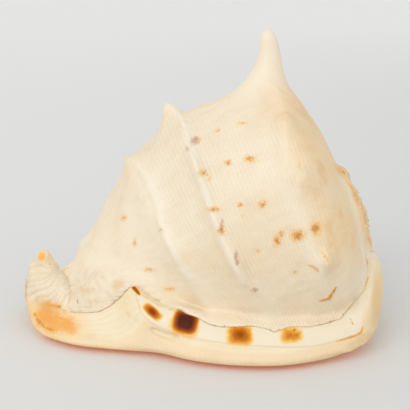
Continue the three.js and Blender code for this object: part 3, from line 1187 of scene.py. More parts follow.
class Wire:
    """A node's output, with arithmetic that adds Math nodes."""

    def __init__(self, paint: "Paint", socket: bpy.types.NodeSocket) -> None:
        """Keeps the output and the paint it belongs to."""
        self.paint = paint
        self.socket = socket

    def math(self, operation: str, *values: "float | Wire") -> "Wire":
        """Adds a Math node on values.

        Args:
            operation: The node's operation.
            values: Its inputs, numbers or wires.

        Returns:
            Its result.
        """
        return self.paint.node("ShaderNodeMath", {"operation": operation}, dict(enumerate(values)))

    def __add__(self, other: "float | Wire") -> "Wire":
        """Adds."""
        return self.math("ADD", self, other)

    __radd__ = __add__

    def __sub__(self, other: "float | Wire") -> "Wire":
        """Takes away."""
        return self.math("SUBTRACT", self, other)

    def __rsub__(self, other: "float | Wire") -> "Wire":
        """Takes this away from a number."""
        return self.math("SUBTRACT", other, self)

    def __mul__(self, other: "float | Wire") -> "Wire":
        """Multiplies."""
        return self.math("MULTIPLY", self, other)

    def sine(self) -> "Wire":
        """Gives the sine."""
        return self.math("SINE", self)

    def step(self, low: float, high: float) -> "Wire":
        """Gives a smooth rise from 0 at low to 1 at high."""
        return self.paint.node("ShaderNodeMapRange", {"interpolation_type": "SMOOTHSTEP"},
                               {0: self, 1: low, 2: high, 3: 0.0, 4: 1.0})


Colour = tuple[float, float, float]


def tone(red: int, green: int, blue: int) -> tuple[float, float, float, float]:
    """Turns a screen colour from 0 to 255 into linear light."""
    value = np.array([red, green, blue]) / 255
    linear = np.where(value <= 0.04045, value / 12.92, ((value + 0.055) / 1.055) ** 2.4)
    return (*linear.tolist(), 1.0)


class Paint:
    """A material and the nodes that colour it."""

    def __init__(self, name: str) -> None:
        """Makes an empty material.

        Args:
            name: Its name.
        """
        self.material = bpy.data.materials.new(name)
        self.material.use_nodes = True
        self.tree = self.material.node_tree
        self.tree.nodes.clear()

    def node(self, kind: str, settings: dict[str, object] | None = None,
             values: dict[int | str, object] | None = None, output: int | str = 0) -> Wire:
        """Adds a node.

        Args:
            kind: The node's type.
            settings: Its settings, set first.
            values: The value or wire of each socket, by place or name.
            output: Which output is given back.

        Returns:
            The chosen output.
        """
        node = self.tree.nodes.new(kind)
        for name, value in (settings or {}).items():
            setattr(node, name, value)
        for key, value in (values or {}).items():
            if isinstance(value, Wire):
                self.tree.links.new(value.socket, node.inputs[key])
            else:
                node.inputs[key].default_value = value
        return Wire(self, node.outputs[output])

    def field(self, name: str) -> Wire:
        """Reads a number that the mesh keeps for each point."""
        return self.node("ShaderNodeAttribute", {"attribute_name": name}, output="Fac")

    def space(self) -> Wire:
        """Gives the place on the object."""
        return self.node("ShaderNodeTexCoord", output="Object")

    def split(self, vector: Wire) -> tuple[Wire, Wire, Wire]:
        """Gives a vector's three numbers."""
        node = self.node("ShaderNodeSeparateXYZ", values={0: vector}).socket.node
        return tuple(Wire(self, output) for output in node.outputs)

    def noise(self, scale: float, detail: float = 3.0, roughness: float = 0.5,
              vector: Wire | None = None) -> Wire:
        """Adds noise.

        Args:
            scale: Its scale, in waves a metre.
            detail: Its octaves.
            roughness: How strong the fine octaves are.
            vector: Where it is read, the object's space if left out.

        Returns:
            Values round 0.5.
        """
        values = {"Vector": vector or self.space(), "Scale": scale, "Detail": detail, "Roughness": roughness}
        return self.node("ShaderNodeTexNoise", values=values, output="Fac")

    def spot(self, x: Wire, y: Wire, scale: float, detail: float = 2.0) -> Wire:
        """Adds noise over two numbers, such as turn and place along the whorl."""
        vector = self.node("ShaderNodeCombineXYZ", values={0: x, 1: y})
        return self.noise(scale, detail, 0.6, vector)

    def mix(self, share: "Wire | float", first: object, second: object) -> Wire:
        """Mixes two colours.

        Args:
            share: 0 for the first, 1 for the second.
            first: The first colour.
            second: The second colour.

        Returns:
            The mixed colour.
        """
        return self.node("ShaderNodeMix", {"data_type": "RGBA"}, {0: share, 6: first, 7: second}, 2)

    def lay(self, colour: Wire, layers: tuple[tuple[Wire, float, Colour], ...]) -> Wire:
        """Lays tones over a colour in turn.

        Args:
            colour: The colour below.
            layers: Where each tone shows, its share at most, and the tone.

        Returns:
            The colour on top.
        """
        for where, most, shade in layers:
            share = where if most == 1 else where * most
            colour = self.mix(share, colour, tone(*shade))
        return colour

    def bump(self, height: Wire, distance: float, strength: float) -> Wire:
        """Adds fine relief.

        Args:
            height: The height, 0 to 1.
            distance: The height of 1 in metres.
            strength: The share of it that shows.

        Returns:
            The normal.
        """
        values = {"Height": height, "Distance": distance, "Strength": strength}
        return self.node("ShaderNodeBump", values=values, output="Normal")

    def close(self, colour: Wire, roughness: Wire, normal: Wire, coat: "Wire | float",
              painted_glow: "Wire | None" = None) -> bpy.types.Material:
        """Ends the material in one surface.

        Args:
            colour: The base colour.
            roughness: The roughness.
            normal: The relief.
            coat: The weight of the gloss over it.
            painted_glow: A painted glow, an emission that stands in for light coming through the thin shell;
                none if left out.

        Returns:
            The material.
        """
        values = {"Base Color": colour, "Roughness": roughness, "Normal": normal, "Coat Weight": coat,
                  "Coat Roughness": 0.2, "Specular IOR Level": 0.12}
        if painted_glow is not None:
            values |= {"Emission Color": painted_glow, "Emission Strength": 1.0}
        surface = self.node("ShaderNodeBsdfPrincipled", values=values)
        output = self.tree.nodes.new("ShaderNodeOutputMaterial")
        self.tree.links.new(surface.socket, output.inputs["Surface"])
        return self.material

@dataclass(frozen=True)
class MarkPaint:
    """The colours of the marks: rust and plum flecks, bark-brown blotches and an amber tinge."""

    gold: Colour = (243, 192, 112)
    rust: Colour = (210, 136, 42)
    plum: Colour = (182, 122, 104)
    amber: Colour = (247, 170, 78)
    halo: Colour = (250, 208, 126)
    tan: Colour = (231, 198, 148)
    pale: Colour = (246, 238, 214)
    bark: tuple[tuple[float, float, Colour], ...] = (
        (-0.2, 0.06, (250, 208, 126)), (-0.04, 0.22, (230, 156, 52)), (0.14, 0.46, (192, 104, 8)),
        (0.42, 0.78, (146, 62, 2)), (0.78, 1.3, (84, 32, 14)),
    )

    def over(self, paint: Paint, colour: Wire) -> Wire:
        """Lays the marks over a colour.

        Args:
            paint: The paint to add to.
            colour: The colour below.

        Returns:
            The marked colour.
        """
        fine = paint.noise(900, 3, 0.65) - 0.5
        broad = paint.noise(180, 4, 0.6) - 0.5
        soft = paint.noise(45, 3, 0.5) - 0.5
        rust, plum, bark, amber, tan, pale = (paint.field(kind.value) for kind in Tone)
        rust = rust + fine * 2.6 + broad * 0.9
        bark = bark + fine * 0.15 + broad * 0.35 + soft * 0.2
        colour = paint.lay(colour, (
            ((tan + soft + broad * 0.5).step(-0.1, 0.9), 0.8, self.tan),
            ((pale + broad * 0.8).step(-0.1, 0.7), 0.5, self.pale),
            ((amber + soft * 0.9).step(-0.95, 0.4), 0.4, self.halo),
            ((amber + soft * 1.3 + broad * 1.1).step(-0.15, 1.0), 0.9, self.amber),
            (rust.step(-0.45, 0.55), 0.7, self.gold),
            (rust.step(0.25, 1.0), 0.85, self.rust),
            ((plum + fine * 1.8 + broad * 0.9).step(0.0, 0.8), 0.6, self.plum),
        ))
        return paint.lay(colour, tuple((bark.step(low, high), 1, shade) for low, high, shade in self.bark))


@dataclass(frozen=True)
class WhorlFinish:
    """The whorl's finish: satin cream, with fine spiral threads crossed by growth lines, painted shade in the
    pleat troughs, and a lighter horn, lower body and rib tops that are partly its paler tone and partly
    painted light.
    """

    cream: Colour = (247, 234, 209)
    sand: Colour = (243, 224, 194)
    patch: Colour = (236, 208, 172)
    growth: Colour = (232, 206, 170)
    groove: Colour = (222, 196, 160)
    # Painted shade: a darker tone in the troughs of the fasciole's pleats.
    pleat_shade: Colour = (222, 192, 158)
    # Partly the shell's paler tone, partly painted light: lighter horn, lower body and rib tops.
    pale: Colour = (250, 242, 224)
    warm: Colour = (243, 210, 160)
    stain: Colour = (230, 180, 124)
    seam: Colour = (206, 150, 84)
    thread: float = 2.65
    coat: float = 0.1

    def make(self) -> bpy.types.Material:
        """Makes the material."""
        paint = Paint("whorl_colour_and_painted_light")
        along, turn, warm = (paint.field(name) for name in ("along", "turn", "warm"))
        wander = paint.spot(turn * 0.02, along * 0.02, 1.4)
        threads = ((along + wander * 2.2) * (2 * np.pi / self.thread)).sine() * 0.5 + 0.5
        shown = threads * paint.field("threads")
        growth = paint.spot(turn * 0.9, along * 0.045, 1.0, 3)
        net = paint.spot(turn * 0.25, along * 0.5, 1.0, 2)
        slow, mid = paint.noise(14, 3, 0.5), paint.noise(60, 4, 0.6)
        colour = paint.mix(slow.step(0.35, 0.7), tone(*self.cream), tone(*self.sand))
        colour = paint.lay(colour, (
            (mid.step(0.45, 0.75), 0.35, self.patch),
            (growth.step(0.52, 0.74), 0.3, self.growth),
            (shown, 0.12, self.groove),
            (paint.field("pleats"), 0.5, self.pleat_shade),
            (paint.field("pale"), 0.6, self.pale),
            (warm * slow, 1.9, self.warm),
            (warm * mid.step(0.5, 0.7), 0.4, self.stain),
        ))
        colour = MarkPaint().over(paint, colour)
        seam = 1 - paint.field("seam").step(0.3, 1.1)
        colour = paint.mix(seam * (mid + 0.2), colour, tone(*self.seam))
        relief = shown * 0.5 + growth * 0.5 + net * 0.5 + mid * 0.3
        roughness = mid * 0.14 + threads * 0.04 + 0.42
        return paint.close(colour, roughness, paint.bump(relief, 0.0005, 0.8), self.coat)


@dataclass(frozen=True)
class ShieldFinish:
    """The finish of the shield and lips: glossy cream above, a peach glaze with pale teeth underneath,
    painted shade in the crease below the old lip and in the pleat troughs, and a painted glow under the rim
    that stands in for light coming through the shell.
    """

    cream: Colour = (245, 231, 200)
    sand: Colour = (243, 223, 185)
    growth: Colour = (233, 204, 158)
    warm: Colour = (238, 196, 144)
    band: Colour = (242, 231, 207)
    fan: Colour = (244, 229, 204)
    # Painted shade: a darker tone in the troughs of the fasciole's pleats.
    pleat_shade: Colour = (222, 192, 158)
    peach: Colour = (238, 158, 104)
    light_peach: Colour = (246, 188, 140)
    teeth: Colour = (250, 240, 222)
    core: Colour = (250, 186, 104)
    seam: Colour = (186, 126, 60)
    # Painted shade: a darker tan along the crease below the old lip.
    crease_shade: Colour = (214, 172, 116)
    # Painted light: a weak peach emission that glows under the rim, standing in for light coming through the
    # thin shell onto the floor.
    painted_glow: tuple[float, float, float, float] = (0.2, 0.085, 0.04, 1)
    no_painted_glow: tuple[float, float, float, float] = (0, 0, 0, 1)

    def make(self) -> bpy.types.Material:
        """Makes the material."""
        paint = Paint("shield_colour_and_painted_light")
        slow, mid = paint.noise(18, 3, 0.5), paint.noise(70, 4, 0.6)
        lines, pleats, under = (paint.field(name) for name in ("rim_lines", "pleats", "under"))
        waves = ((lines + mid * 1.5) * 2.4).sine() * 0.5 + 0.5
        colour = paint.mix(slow.step(0.35, 0.7), tone(*self.cream), tone(*self.sand))
        colour = paint.lay(colour, (
            (waves, 0.16, self.growth),
            (paint.field("warm"), 0.5, self.warm),
            (paint.field("band"), 0.8, self.band),
            (paint.field("fan"), 0.6, self.fan),
            (pleats, 0.5, self.pleat_shade),
        ))
        glaze = paint.mix(slow.step(0.4, 0.65), tone(*self.peach), tone(*self.light_peach))
        colour = paint.mix(under, colour, glaze)
        colour = paint.mix(paint.field("teeth"), colour, tone(*self.teeth))
        colour = MarkPaint().over(paint, colour)
        seam = 1 - paint.field("seam").step(0.2, 1.0)
        # Painted shade along the crease below the old lip.
        crease_shade = 1 - paint.field("crease_shade").step(0.4, 1.8)
        colour = paint.lay(colour, (
            (paint.field("core"), 1, self.core), (seam * mid, 1, self.seam), (crease_shade, 0.3, self.crease_shade),
        ))
        relief = waves * 0.3 + pleats * 0.4 + mid * 0.4
        roughness = mid * 0.14 - under * 0.14 + 0.36
        # The painted glow: emission under the rim in place of light coming through the shell.
        painted_glow = paint.mix(paint.field("painted_glow"), self.no_painted_glow, self.painted_glow)
        coat = (under * 0.5 + 0.12) * (1 - paint.field(Tone.BARK.value).step(0, 0.6) * 0.8)
        return paint.close(colour, roughness, paint.bump(relief, 0.0003, 0.5), coat, painted_glow)


@dataclass(frozen=True)
class Calm:
    """Where the whorl is smoothed on the near side: its neck, a band above the edge, and the edge's start.

    Covered is how far above the edge a place lies in the picture, across and down are places in it, and the
    rest is in millimetres.
    """

    near: Span = Span(-8, 2)
    edge_covered: Span = Span(3, 9)
    neck_along: Span = Span(46, 58)
    neck_height: Span = Span(62, 76)
    band_covered: Span = Span(24, 36)
    band_left: Span = Span(96, 116)
    band_right: Span = Span(330, 350)
    band_down: float = 240.0
    start_covered: Span = Span(9, 14)
    start_below: Span = Span(-9, -5)
    start_left: Span = Span(126, 138)
    start_right: Span = Span(176, 188)
    start_y: float = -20.0
    start_share: float = 0.6
    rounds: int = 18

    def share(self, points: Array) -> Array:
        """Gives how strongly each point is smoothed.

        Args:
            points: Points of the whorl.

        Returns:
            Its share, from 0 to 1.
        """
        across, down = VIEW.place(points).T
        covered = -EDGE.side(VIEW.place(points))
        neck = self.neck_along.rise(-points[:, 0]) * self.neck_height.fall(points[:, 2])
        band = self.band_covered.fall(covered) * (down > self.band_down)
        band *= self.band_left.rise(across) * self.band_right.fall(across)
        wide = np.maximum(neck, band) * self.edge_covered.rise(covered) * self.near.fall(points[:, 1])
        start = self.start_left.rise(across) * self.start_right.fall(across) * (points[:, 1] < self.start_y)
        start *= self.start_covered.fall(covered) * self.start_below.rise(covered)
        return np.maximum(wide, self.start_share * start)

    def smooth(self, points: Array, shape: tuple[int, ...]) -> Array:
        """Smooths the whorl's grid.

        Args:
            points: Points of the whorl.
            shape: The grid's shape.

        Returns:
            The smoothed points.
        """
        share = self.share(points).reshape(shape[:2])[..., None]
        grid = points.reshape(shape).copy()
        for _ in range(self.rounds):
            mean = (np.roll(grid, 1, axis=1) + np.roll(grid, -1, axis=1))[1:-1] + grid[:-2] + grid[2:]
            grid[1:-1] += (mean / 4 - grid[1:-1]) * share[1:-1]
        return grid.reshape(-1, 3)


@dataclass(frozen=True)
class Brim:
    """The whorl's thin edge, which lies on the shield on the near side.

    Thick, blend, neck_blend, deepest, missed, lift and near are millimetres. The rest is in pixels: reach to
    dives are measured from the edge, and lip_joint on are places across the picture. Left of whole_from, only
    what faces the camera is moved, by the grazing share.
    """

    surface: BVHTree
    thick: float = 0.5
    blend: float = 9.0
    neck_blend: float = 14.0
    reach: float = 2.6
    steady: Span = Span(3, 11)
    steady_reach: float = 14.0
    thinner: Span = Span(0, 3)
    lands: Span = Span(-9, -0.8)
    dives: tuple[float, float] = (0.3, 1.1)
    deepest: float = -9.0
    missed: float = -60.0
    grazing: Span = Span(0.02, 0.3)
    near: float = -8.0
    top: float = 215.0
    just_below: float = 1.5
    lift: float = 0.2
    bell: int = 40
    bell_width: float = 18.0
    lip_joint: Span = Span(48, 66)
    left: Span = Span(52, 62)
    right: Span = Span(356, 368)
    whole_from: float = 126.0
    neck: Span = Span(105, 135)
    steady_left: Span = Span(114, 122)
    steady_right: Span = Span(186, 200)

    def share(self, points: Array, normal: Array) -> Array:
        """Gives how much of the move each point takes.

        Args:
            points: Points of the whorl.
            normal: Their outward directions.

        Returns:
            Its share, 0 where the whorl stays as it is.
        """
        across, down = VIEW.place(points).T
        facing = normal @ VIEW.axes()[1]
        share = np.where(across > self.whole_from, 1.0, self.grazing.rise(facing))
        share *= self.left.rise(across) * self.right.fall(across)
        return share * ((down > self.top) & (points[:, 1] < self.near) & (facing > self.grazing.start))

    def edge_depth(self, places: Array) -> tuple[Array, Array]:
        """Finds how far away the shield lies just below the edge, smoothed along the edge.

        Args:
            places: Places in the picture, one a row.

        Returns:
            Each place's distance from the edge in the picture, and the shield's distance from the eye there.
        """
        samples = EDGE.curve(FINE)
        below = samples + (0, self.just_below) - VIEW.frame / 2
        ways = np.array(VIEW.target) + VIEW.in_space(below) - VIEW.eye()
        ways /= np.linalg.norm(ways, axis=1)[:, None]
        depth = cast(self.surface, VIEW.eye(), ways)
        seen = np.isfinite(depth)
        depth = np.interp(np.arange(len(depth)), np.flatnonzero(seen), depth[seen])
        bell = np.exp(-(np.arange(-self.bell, self.bell + 1) / self.bell_width) ** 2)
        depth = np.convolve(np.pad(depth, self.bell, "edge"), bell / bell.sum(), "valid") - self.lift
        index, gap = find_nearest(places, samples)
        return gap, depth[index]

    def height(self, side: Array, drawn: Array, across: Array, sight: Array, far: Array) -> Array:
        """Measures how far the shield lies in front of the whorl, steadied close to the edge's start.

        Args:
            side: How far below the edge each point lies in the picture, negative above it.
            drawn: The points' places in the picture, drawn toward the edge.
            across: Their places across the picture before that.
            sight: The directions from them to the eye.
            far: Their distances from the eye.

        Returns:
            The shield's height over each point along its line of sight.
        """
        hit = cast(self.surface, VIEW.eye(), -sight)
        height = np.where(np.isfinite(hit), far - hit, self.missed)
        gap, depth = self.edge_depth(drawn)
        share = self.steady.fall(-side) * self.steady_left.rise(across)
        share *= self.steady_right.fall(across) * (gap < self.steady_reach)
        return height + (far - depth - height) * share

    def move(self, points: Array, drawn: Array, across: Array) -> Array:
        """Moves points of the whorl along the line of sight, onto the shield or behind it below the edge.

        Args:
            points: Points of the whorl on the near side.
            drawn: Their places in the picture, drawn toward the edge.
            across: Their places across the picture before that.

        Returns:
            The moved points.
        """
        side = EDGE.side(drawn)
        sight = VIEW.eye() - points
        far = np.linalg.norm(sight, axis=1)
        sight /= far[:, None]
        height = self.height(side, drawn, across, sight, far)
        thick = self.thick * (0.25 + 0.75 * self.thinner.rise(-side))
        raised = height + thick * self.lip_joint.rise(across)
        soft = self.blend + self.neck_blend * self.neck.fall(across)
        over = np.where(raised < -soft, 0, np.where(raised > soft, raised, (raised + soft) ** 2 / (4 * soft)))
        over = over + (raised - over) * self.lands.rise(side)
        under = np.clip(height - self.thick * (1 + np.maximum(side, 0)), self.deepest, 0)
        start, end = self.dives
        cover = over + (under - over) * np.clip((side - start) / (end - start), 0, 1)
        return points + sight * cover[:, None]


@dataclass(frozen=True)
class Whorl:
    """The last whorl with its knobs, spire and tall horn, hollow inside.

    The spans are in millimetres: starts and ends along the profile, heights over the floor, and low_along
    and flow_start in x. Faces is the share that faces the camera.
    """

    rounds: int = 440
    rows: int = 200
    middle: tuple[float, float, float] = (30, -3, 50)
    swell_middle: tuple[float, float, float] = (60, 0, 20)
    swell_start: Span = Span(6, 30)
    swell_end: Span = Span(175, 198)
    faces: Span = Span(-0.15, 0.2)
    flow_top: float = 95.0
    flow_side: float = -0.6
    flow_round: tuple[float, float] = (16.0, 9.0)
    flow_most: float = 16.0
    flow_steps: int = 14
    flow_start: Span = Span(-92, -84)
    turn_length: float = 80.0
    swellings: tuple[tuple[float, float, int], ...] = ((0.45, 26, 3), (0.2, 10, 5))
    growth_height: float = 0.16
    growth_lines: float = 62.0
    horn_height: Span = Span(140, 165)
    low_height: Span = Span(25, 66)
    low_along: Span = Span(-66, -36)
    warm_along: Span = Span(20, 52)
    warm_height: Span = Span(40, 84)
    threads_start: Span = Span(14, 40)
    threads_end: Span = Span(112, 140)
    threads_height: Span = Span(128, 150)
    horn: Horn = Horn()
    calm: Calm = Calm()

    def build(self, cutters: list[bpy.types.Object], shield: BVHTree) -> bpy.types.Object:
        """Makes the whorl.

        Args:
            cutters: The spaces that stay open.
            shield: The shield's surface in millimetres.

        Returns:
            The piece, with its fields.
        """
        profile = spline(np.array(COIL.profile, float), COIL.rows(self.rows))
        turn = COIL.turns(self.rounds)[None, :]
        along, radius = profile[:, :1], profile[:, 1:]
        body = radius * COIL.fullness(turn, radius)
        body = body + np.where(radius > 1, COIL.knob_height(turn, along, body), 0)
        place = COIL.axial(turn, along) - COIL.spire_height(turn, radius)
        grid = COIL.place(place, body, turn)
        turns, alongs = np.broadcast_to(turn, grid.shape[:2]), np.broadcast_to(along, grid.shape[:2])
        flat = self.swell(grid.reshape(-1, 3), turns.ravel(), alongs.ravel())
        flat = self.drape(self.horn.draw_up(flat), grid.shape, Brim(shield))
        flat[:, 2] = np.maximum(flat[:, 2], COIL.floor)
        grid = flat.reshape(grid.shape)
        grid[0], grid[-1] = grid[0].mean(0), grid[-1].mean(0)
        piece = Form.from_grid("whorl", grid)
        for name, values in (("along", alongs), ("turn", turns * self.turn_length)):
            kept = np.concatenate([values[0, :1], values[1:-1].ravel(), values[-1, :1]])
            Form.store(piece.data, name, kept)
        Form.combine(piece, cutters, "DIFFERENCE", keep=True)
        self.dress(piece.data)
        return piece

    def swell(self, points: Array, turn: Array, along: Array) -> Array:
        """Adds the growth's low irregular swellings and the ribs.

        Args:
            points: Points of the whorl.
            turn: Their turns.
            along: Their places along the profile.

        Returns:
            The moved points.
        """
        outward = points - (np.array(COIL.apex) + SHIFT - self.swell_middle)
        outward /= np.linalg.norm(outward, axis=1)[:, None]
        share = self.swell_start.rise(along) * self.swell_end.fall(along)
        growth = np.sin(turn * self.growth_lines + waves(points, ((3, 60, 9),)))
        height = waves(points, self.swellings) + self.growth_height * growth * ripple(points, 45, 12)
        near = np.flatnonzero(points[:, 1] < 0)
        places = VIEW.place(points[near])
        facing = self.faces.rise(outward[near] @ VIEW.axes()[1])
        height[near] += np.max([rib.rise(places) for rib in RIBS], axis=0) * facing
        return points + outward * (height * share)[:, None]

    def outward(self, points: Array, shape: tuple[int, ...]) -> Array:
        """Gives the outward direction at each point of the whorl's grid.

        Args:
            points: Points of the whorl.
            shape: The grid's shape.

        Returns:
            Unit vectors, one a row.
        """
        grid = points.reshape(shape)
        around = np.roll(grid, -1, axis=1) - np.roll(grid, 1, axis=1)
        normal = np.cross(around, np.gradient(grid, axis=0)).reshape(-1, 3)
        normal /= np.maximum(np.linalg.norm(normal, axis=1), 1e-9)[:, None]
        return normal * np.sign(np.einsum("ij,ij->i", normal, points - self.middle))[:, None]

    def flow(self, points: Array, normal: Array) -> Array:
        """Gives how far the whorl is raised to flow into the fasciole and the outer lip.

        Args:
            points: Points of the whorl.
            normal: Their outward directions.

        Returns:
            The rise at each point.
        """
        def gap_to_rolls(places: Array) -> Array:
            """Gives the distance from the nearer roll's skin."""
            return np.minimum(FASCIOLE.nearest(places)[1], OUTER_LIP.nearest(places)[1])

        round_ = np.where(points[:, 1] < 0, *self.flow_round)
        depth = -gap_to_rolls(points)
        rise = np.zeros(len(points))
        for _ in range(self.flow_steps):
            gap = gap_to_rolls(points + normal * rise[:, None])
            joint = np.maximum(round_ - np.abs(rise - gap), 0) ** 2 / (4 * round_)
            rise -= 0.8 * (np.minimum(rise, gap) - joint)
        rise = np.clip(rise, 0, self.flow_most) * self.flow_start.rise(points[:, 0])
        return np.maximum(0, rise - 0.7 * np.maximum(0, depth - 3))

    def drape(self, points: Array, shape: tuple[int, ...], brim: Brim) -> Array:
        """Lets the whorl flow into the rolls beside it, and end in a thin edge over them on the near side.

        Args:
            points: Points of the whorl.
            shape: The grid's shape.
            brim: The thin edge.

        Returns:
            The moved points.
        """
        normal = self.outward(points, shape)
        moved = points.copy()
        low = (points[:, 2] < self.flow_top) & (points[:, 2] > COIL.floor + 0.5)
        low = np.flatnonzero(low & (normal[:, 2] > self.flow_side))
        moved[low] += normal[low] * self.flow(points[low], normal[low])[:, None]
        share = brim.share(points, normal)
        near = np.flatnonzero(share > 0)
        places = VIEW.place(points[near])
        drawn = EDGE.gather(places, brim.reach)
        shift = VIEW.in_space(drawn - places)
        moved[near] += shift
        covered = brim.move(points[near] + shift, drawn, places[:, 0])
        moved[near] += (covered - moved[near]) * share[near][:, None]
        moved = self.calm.smooth(moved, shape)
        pleats, wave = FAN.pleats(moved)
        return moved + normal * (FAN.height * pleats * wave)[:, None]

    def dress(self, mesh: bpy.types.Mesh) -> None:
        """Adds the fields that the finish reads, and the finish.

        Args:
            mesh: The whorl's mesh.
        """
        points, normals, along = Form.points(mesh), Form.normals(mesh), Form.read(mesh, "along")
        facing = (normals @ VIEW.axes()[1] > -0.05) & (points[:, 1] < 60)
        paint_marks(mesh, WHORL_MARKS, facing)
        height = points[:, 2]
        horn = self.horn_height.rise(height)
        low = self.low_height.fall(height) * self.low_along.rise(points[:, 0])
        ribs = np.max([rib.rise(VIEW.place(points)) for rib in RIBS], axis=0) * facing / 2
        threads = self.threads_start.rise(along) * (1 - 0.8 * self.threads_end.rise(along))
        share, wave = FAN.pleats(points)
        Form.finish(mesh, WhorlFinish().make(), {
            "seam": seam_distance(points, facing),
            # Partly the paler tone of the horn, lower body and rib tops, partly painted light on them.
            "pale": np.max([horn * 0.7, low * 0.4, np.minimum(1, ribs)], axis=0),
            "warm": self.warm_along.fall(along) * (1 - horn) * self.warm_height.rise(height),
            "threads": threads * self.threads_height.fall(height),
            # The pleats' troughs, where the finish paints shade.
            "pleats": share * np.clip(-wave, 0, 1),
        })


@dataclass(frozen=True)
class Shield:
    """The flat shield with the old lip, the outer lip, the fasciole and the spout.

    The names with sunk_left, sunk_right, sunk_down, covered, deeper, ring, below_edge and above_crease are in
    pixels of the picture. The spans facing_down and flat_down are the upward share of the normal, and teeth
    is a share. The rest is in millimetres.
    """

    outline: tuple[tuple[float, float], ...] = (
        (-112, -23), (-104, -40), (-94, -50), (-77, -60), (-52, -66), (-28, -71), (-6, -82.5), (20, -89),
        (48, -88.5), (74, -78.5), (94, -64), (106, -44), (113, -24), (113.5, 5), (105, 38), (85, 64),
        (56, 82), (18, 89), (-20, 86), (-58, 74), (-88, 57), (-110, 38), (-119, 20), (-119, 4), (-116.5, -9),
    )
    rises: tuple[tuple[float, float, float, float, float], ...] = (
        (-112, -6, 32, 10, 13), (108, -14, 27, 14, 32), (-43, -40, 13, 19, 13), (-30, -60, 6, 15, 8),
    )
    rim: float = 3.6
    near_lift: float = 3.2
    far_lift: float = 1.6
    across: Span = Span(-20, 20)
    heel_lift: float = 4.0
    heel: Span = Span(70, 110)
    rise: float = 0.5
    rise_reach: float = 34.0
    flat_share: float = 0.6
    round_share: float = 0.95
    outside: float = -60.0
    voxel: float = 1.15
    heel_from: float = 100.0
    heel_drawn: float = 0.16
    sunk: float = 1.4
    sunk_left: Span = Span(62, 70)
    sunk_right: Span = Span(350, 360)
    sunk_down: float = 215.0
    sunk_y: float = -8.0
    covered: Span = Span(0, 4)
    deeper: Span = Span(4, 9)
    swellings: tuple[tuple[float, float, int], ...] = ((0.25, 22, 21), (0.1, 8, 22))
    ring: float = 5.2
    ring_tall: float = 1.15
    ring_hollow: Span = Span(3, 4.6)
    ring_core: Span = Span(3.3, 4.6)
    lip_skin: Span = Span(1, 3)
    growth_height: float = 0.12
    growth_lines: float = 260.0
    facing_down: Span = Span(-0.3, 0.1)
    teeth: Span = Span(0.25, 0.6)
    below_edge: Span = Span(-1, 1)
    above_crease: Span = Span(-2.5, 0.5)
    flat_down: Span = Span(-0.9, -0.6)
    low: Span = Span(5, 9)
    at_mouth: Span = Span(2, 10)
    in_mouth: Span = Span(20, 30)
    glaze_height: Span = Span(18, 24)
    glaze_along: tuple[float, float] = (70.0, 100.0)
    painted_glow_inward: Span = Span(12, 40)
    rim_inward: Span = Span(1, 4)

    def edge(self, count: int) -> Array:
        """Gives places spaced round the outline."""
        return spline(np.array(self.outline, float), np.linspace(0, 1, count, endpoint=False), closed=True)

    def bumps(self, x: Array, y: Array) -> Array:
        """Gives the height of the round rises: at the spout, the heel and where the old lip begins."""
        return sum(height * np.exp(-(((x - at_x) / along) ** 2) - ((y - at_y) / across) ** 2)
                   for at_x, at_y, height, along, across in self.rises)

    def lift(self, x: Array, y: Array) -> Array:
        """Gives how far the rim stands off the floor."""
        return (self.near_lift + (self.far_lift - self.near_lift) * self.across.rise(y)
                + self.heel_lift * self.heel.rise(x))

    def over(self, x: Array, y: Array, inward: Array) -> Array:
        """Gives the height of the top, which climbs from the rim toward the whorl.

        Args:
            x: Places along the shell, before it is moved to the middle.
            y: Places across it.
            inward: How far inside the outline they lie.

        Returns:
            The heights.
        """
        return self.lift(x, y) + self.rim + self.rise * np.clip(inward, 0, self.rise_reach) + self.bumps(x, y)

    def top(self, x: Array, y: Array) -> Array:
        """Gives the height of the shield's top, very low outside its outline.

        Args:
            x: Places along the shell, before it is moved to the middle.
            y: Places across it.

        Returns:
            The heights.
        """
        edge = self.edge(720)
        angle = np.arctan2(edge[:, 1], edge[:, 0])
        order = np.argsort(angle)
        size = np.linalg.norm(edge, axis=1)[order]
        inward = np.interp(np.arctan2(y, x), angle[order], size, period=2 * np.pi) - np.hypot(x, y)
        return np.where(inward < -1, self.outside, self.over(x, y, inward))

    def base(self) -> bpy.types.Object:
        """Makes the base: a round rim, a top that climbs toward the whorl and a flat underside."""
        edge, whole = self.edge(360), self.round_share
        inner = np.linspace(0, whole, 24)
        round_ = whole + (1 - whole) * np.sin(np.linspace(0, np.pi / 2, 9))[1:]
        sizes = np.concatenate([inner, round_, round_[-2::-1], inner[::-1]])[:, None]
        x, y = (edge[None, :, k] * sizes for k in (0, 1))
        share = np.maximum(0, (sizes - self.flat_share) / (1 - self.flat_share))
        under = self.lift(x, y) * share**2
        over = self.over(x, y, (1 - sizes) * np.linalg.norm(edge, axis=1)[None, :])
        closing = np.sqrt(np.maximum(0, 1 - (np.maximum(0, sizes - whole) / (1 - whole)) ** 2))
        middle = (over + under) / 2
        on_top = (np.arange(len(sizes)) < len(inner) + len(round_))[:, None]
        z = middle + (np.where(on_top, over, under) - middle) * closing
        return Form.from_grid("shield", (np.stack([x, y, z], axis=-1) + SHIFT)[::-1])

    def round_corners(self, mesh: bpy.types.Mesh) -> None:
        """Fills the corners between the shield and the rolls, and draws the heel in.

        Args:
            mesh: The shield's mesh.
        """
        points, normals = Form.points(mesh), Form.normals(mesh)
        over = np.flatnonzero((normals[:, 2] > -0.2) & (points[:, 2] > 6))
        rise = np.zeros(len(points))
        rise[over] = Corners(self).fill(points[over])
        moved = points + normals * rise[:, None]
        moved[:, 0] -= self.heel_drawn * np.maximum(0, moved[:, 0] - self.heel_from)
        Form.move(mesh, moved)

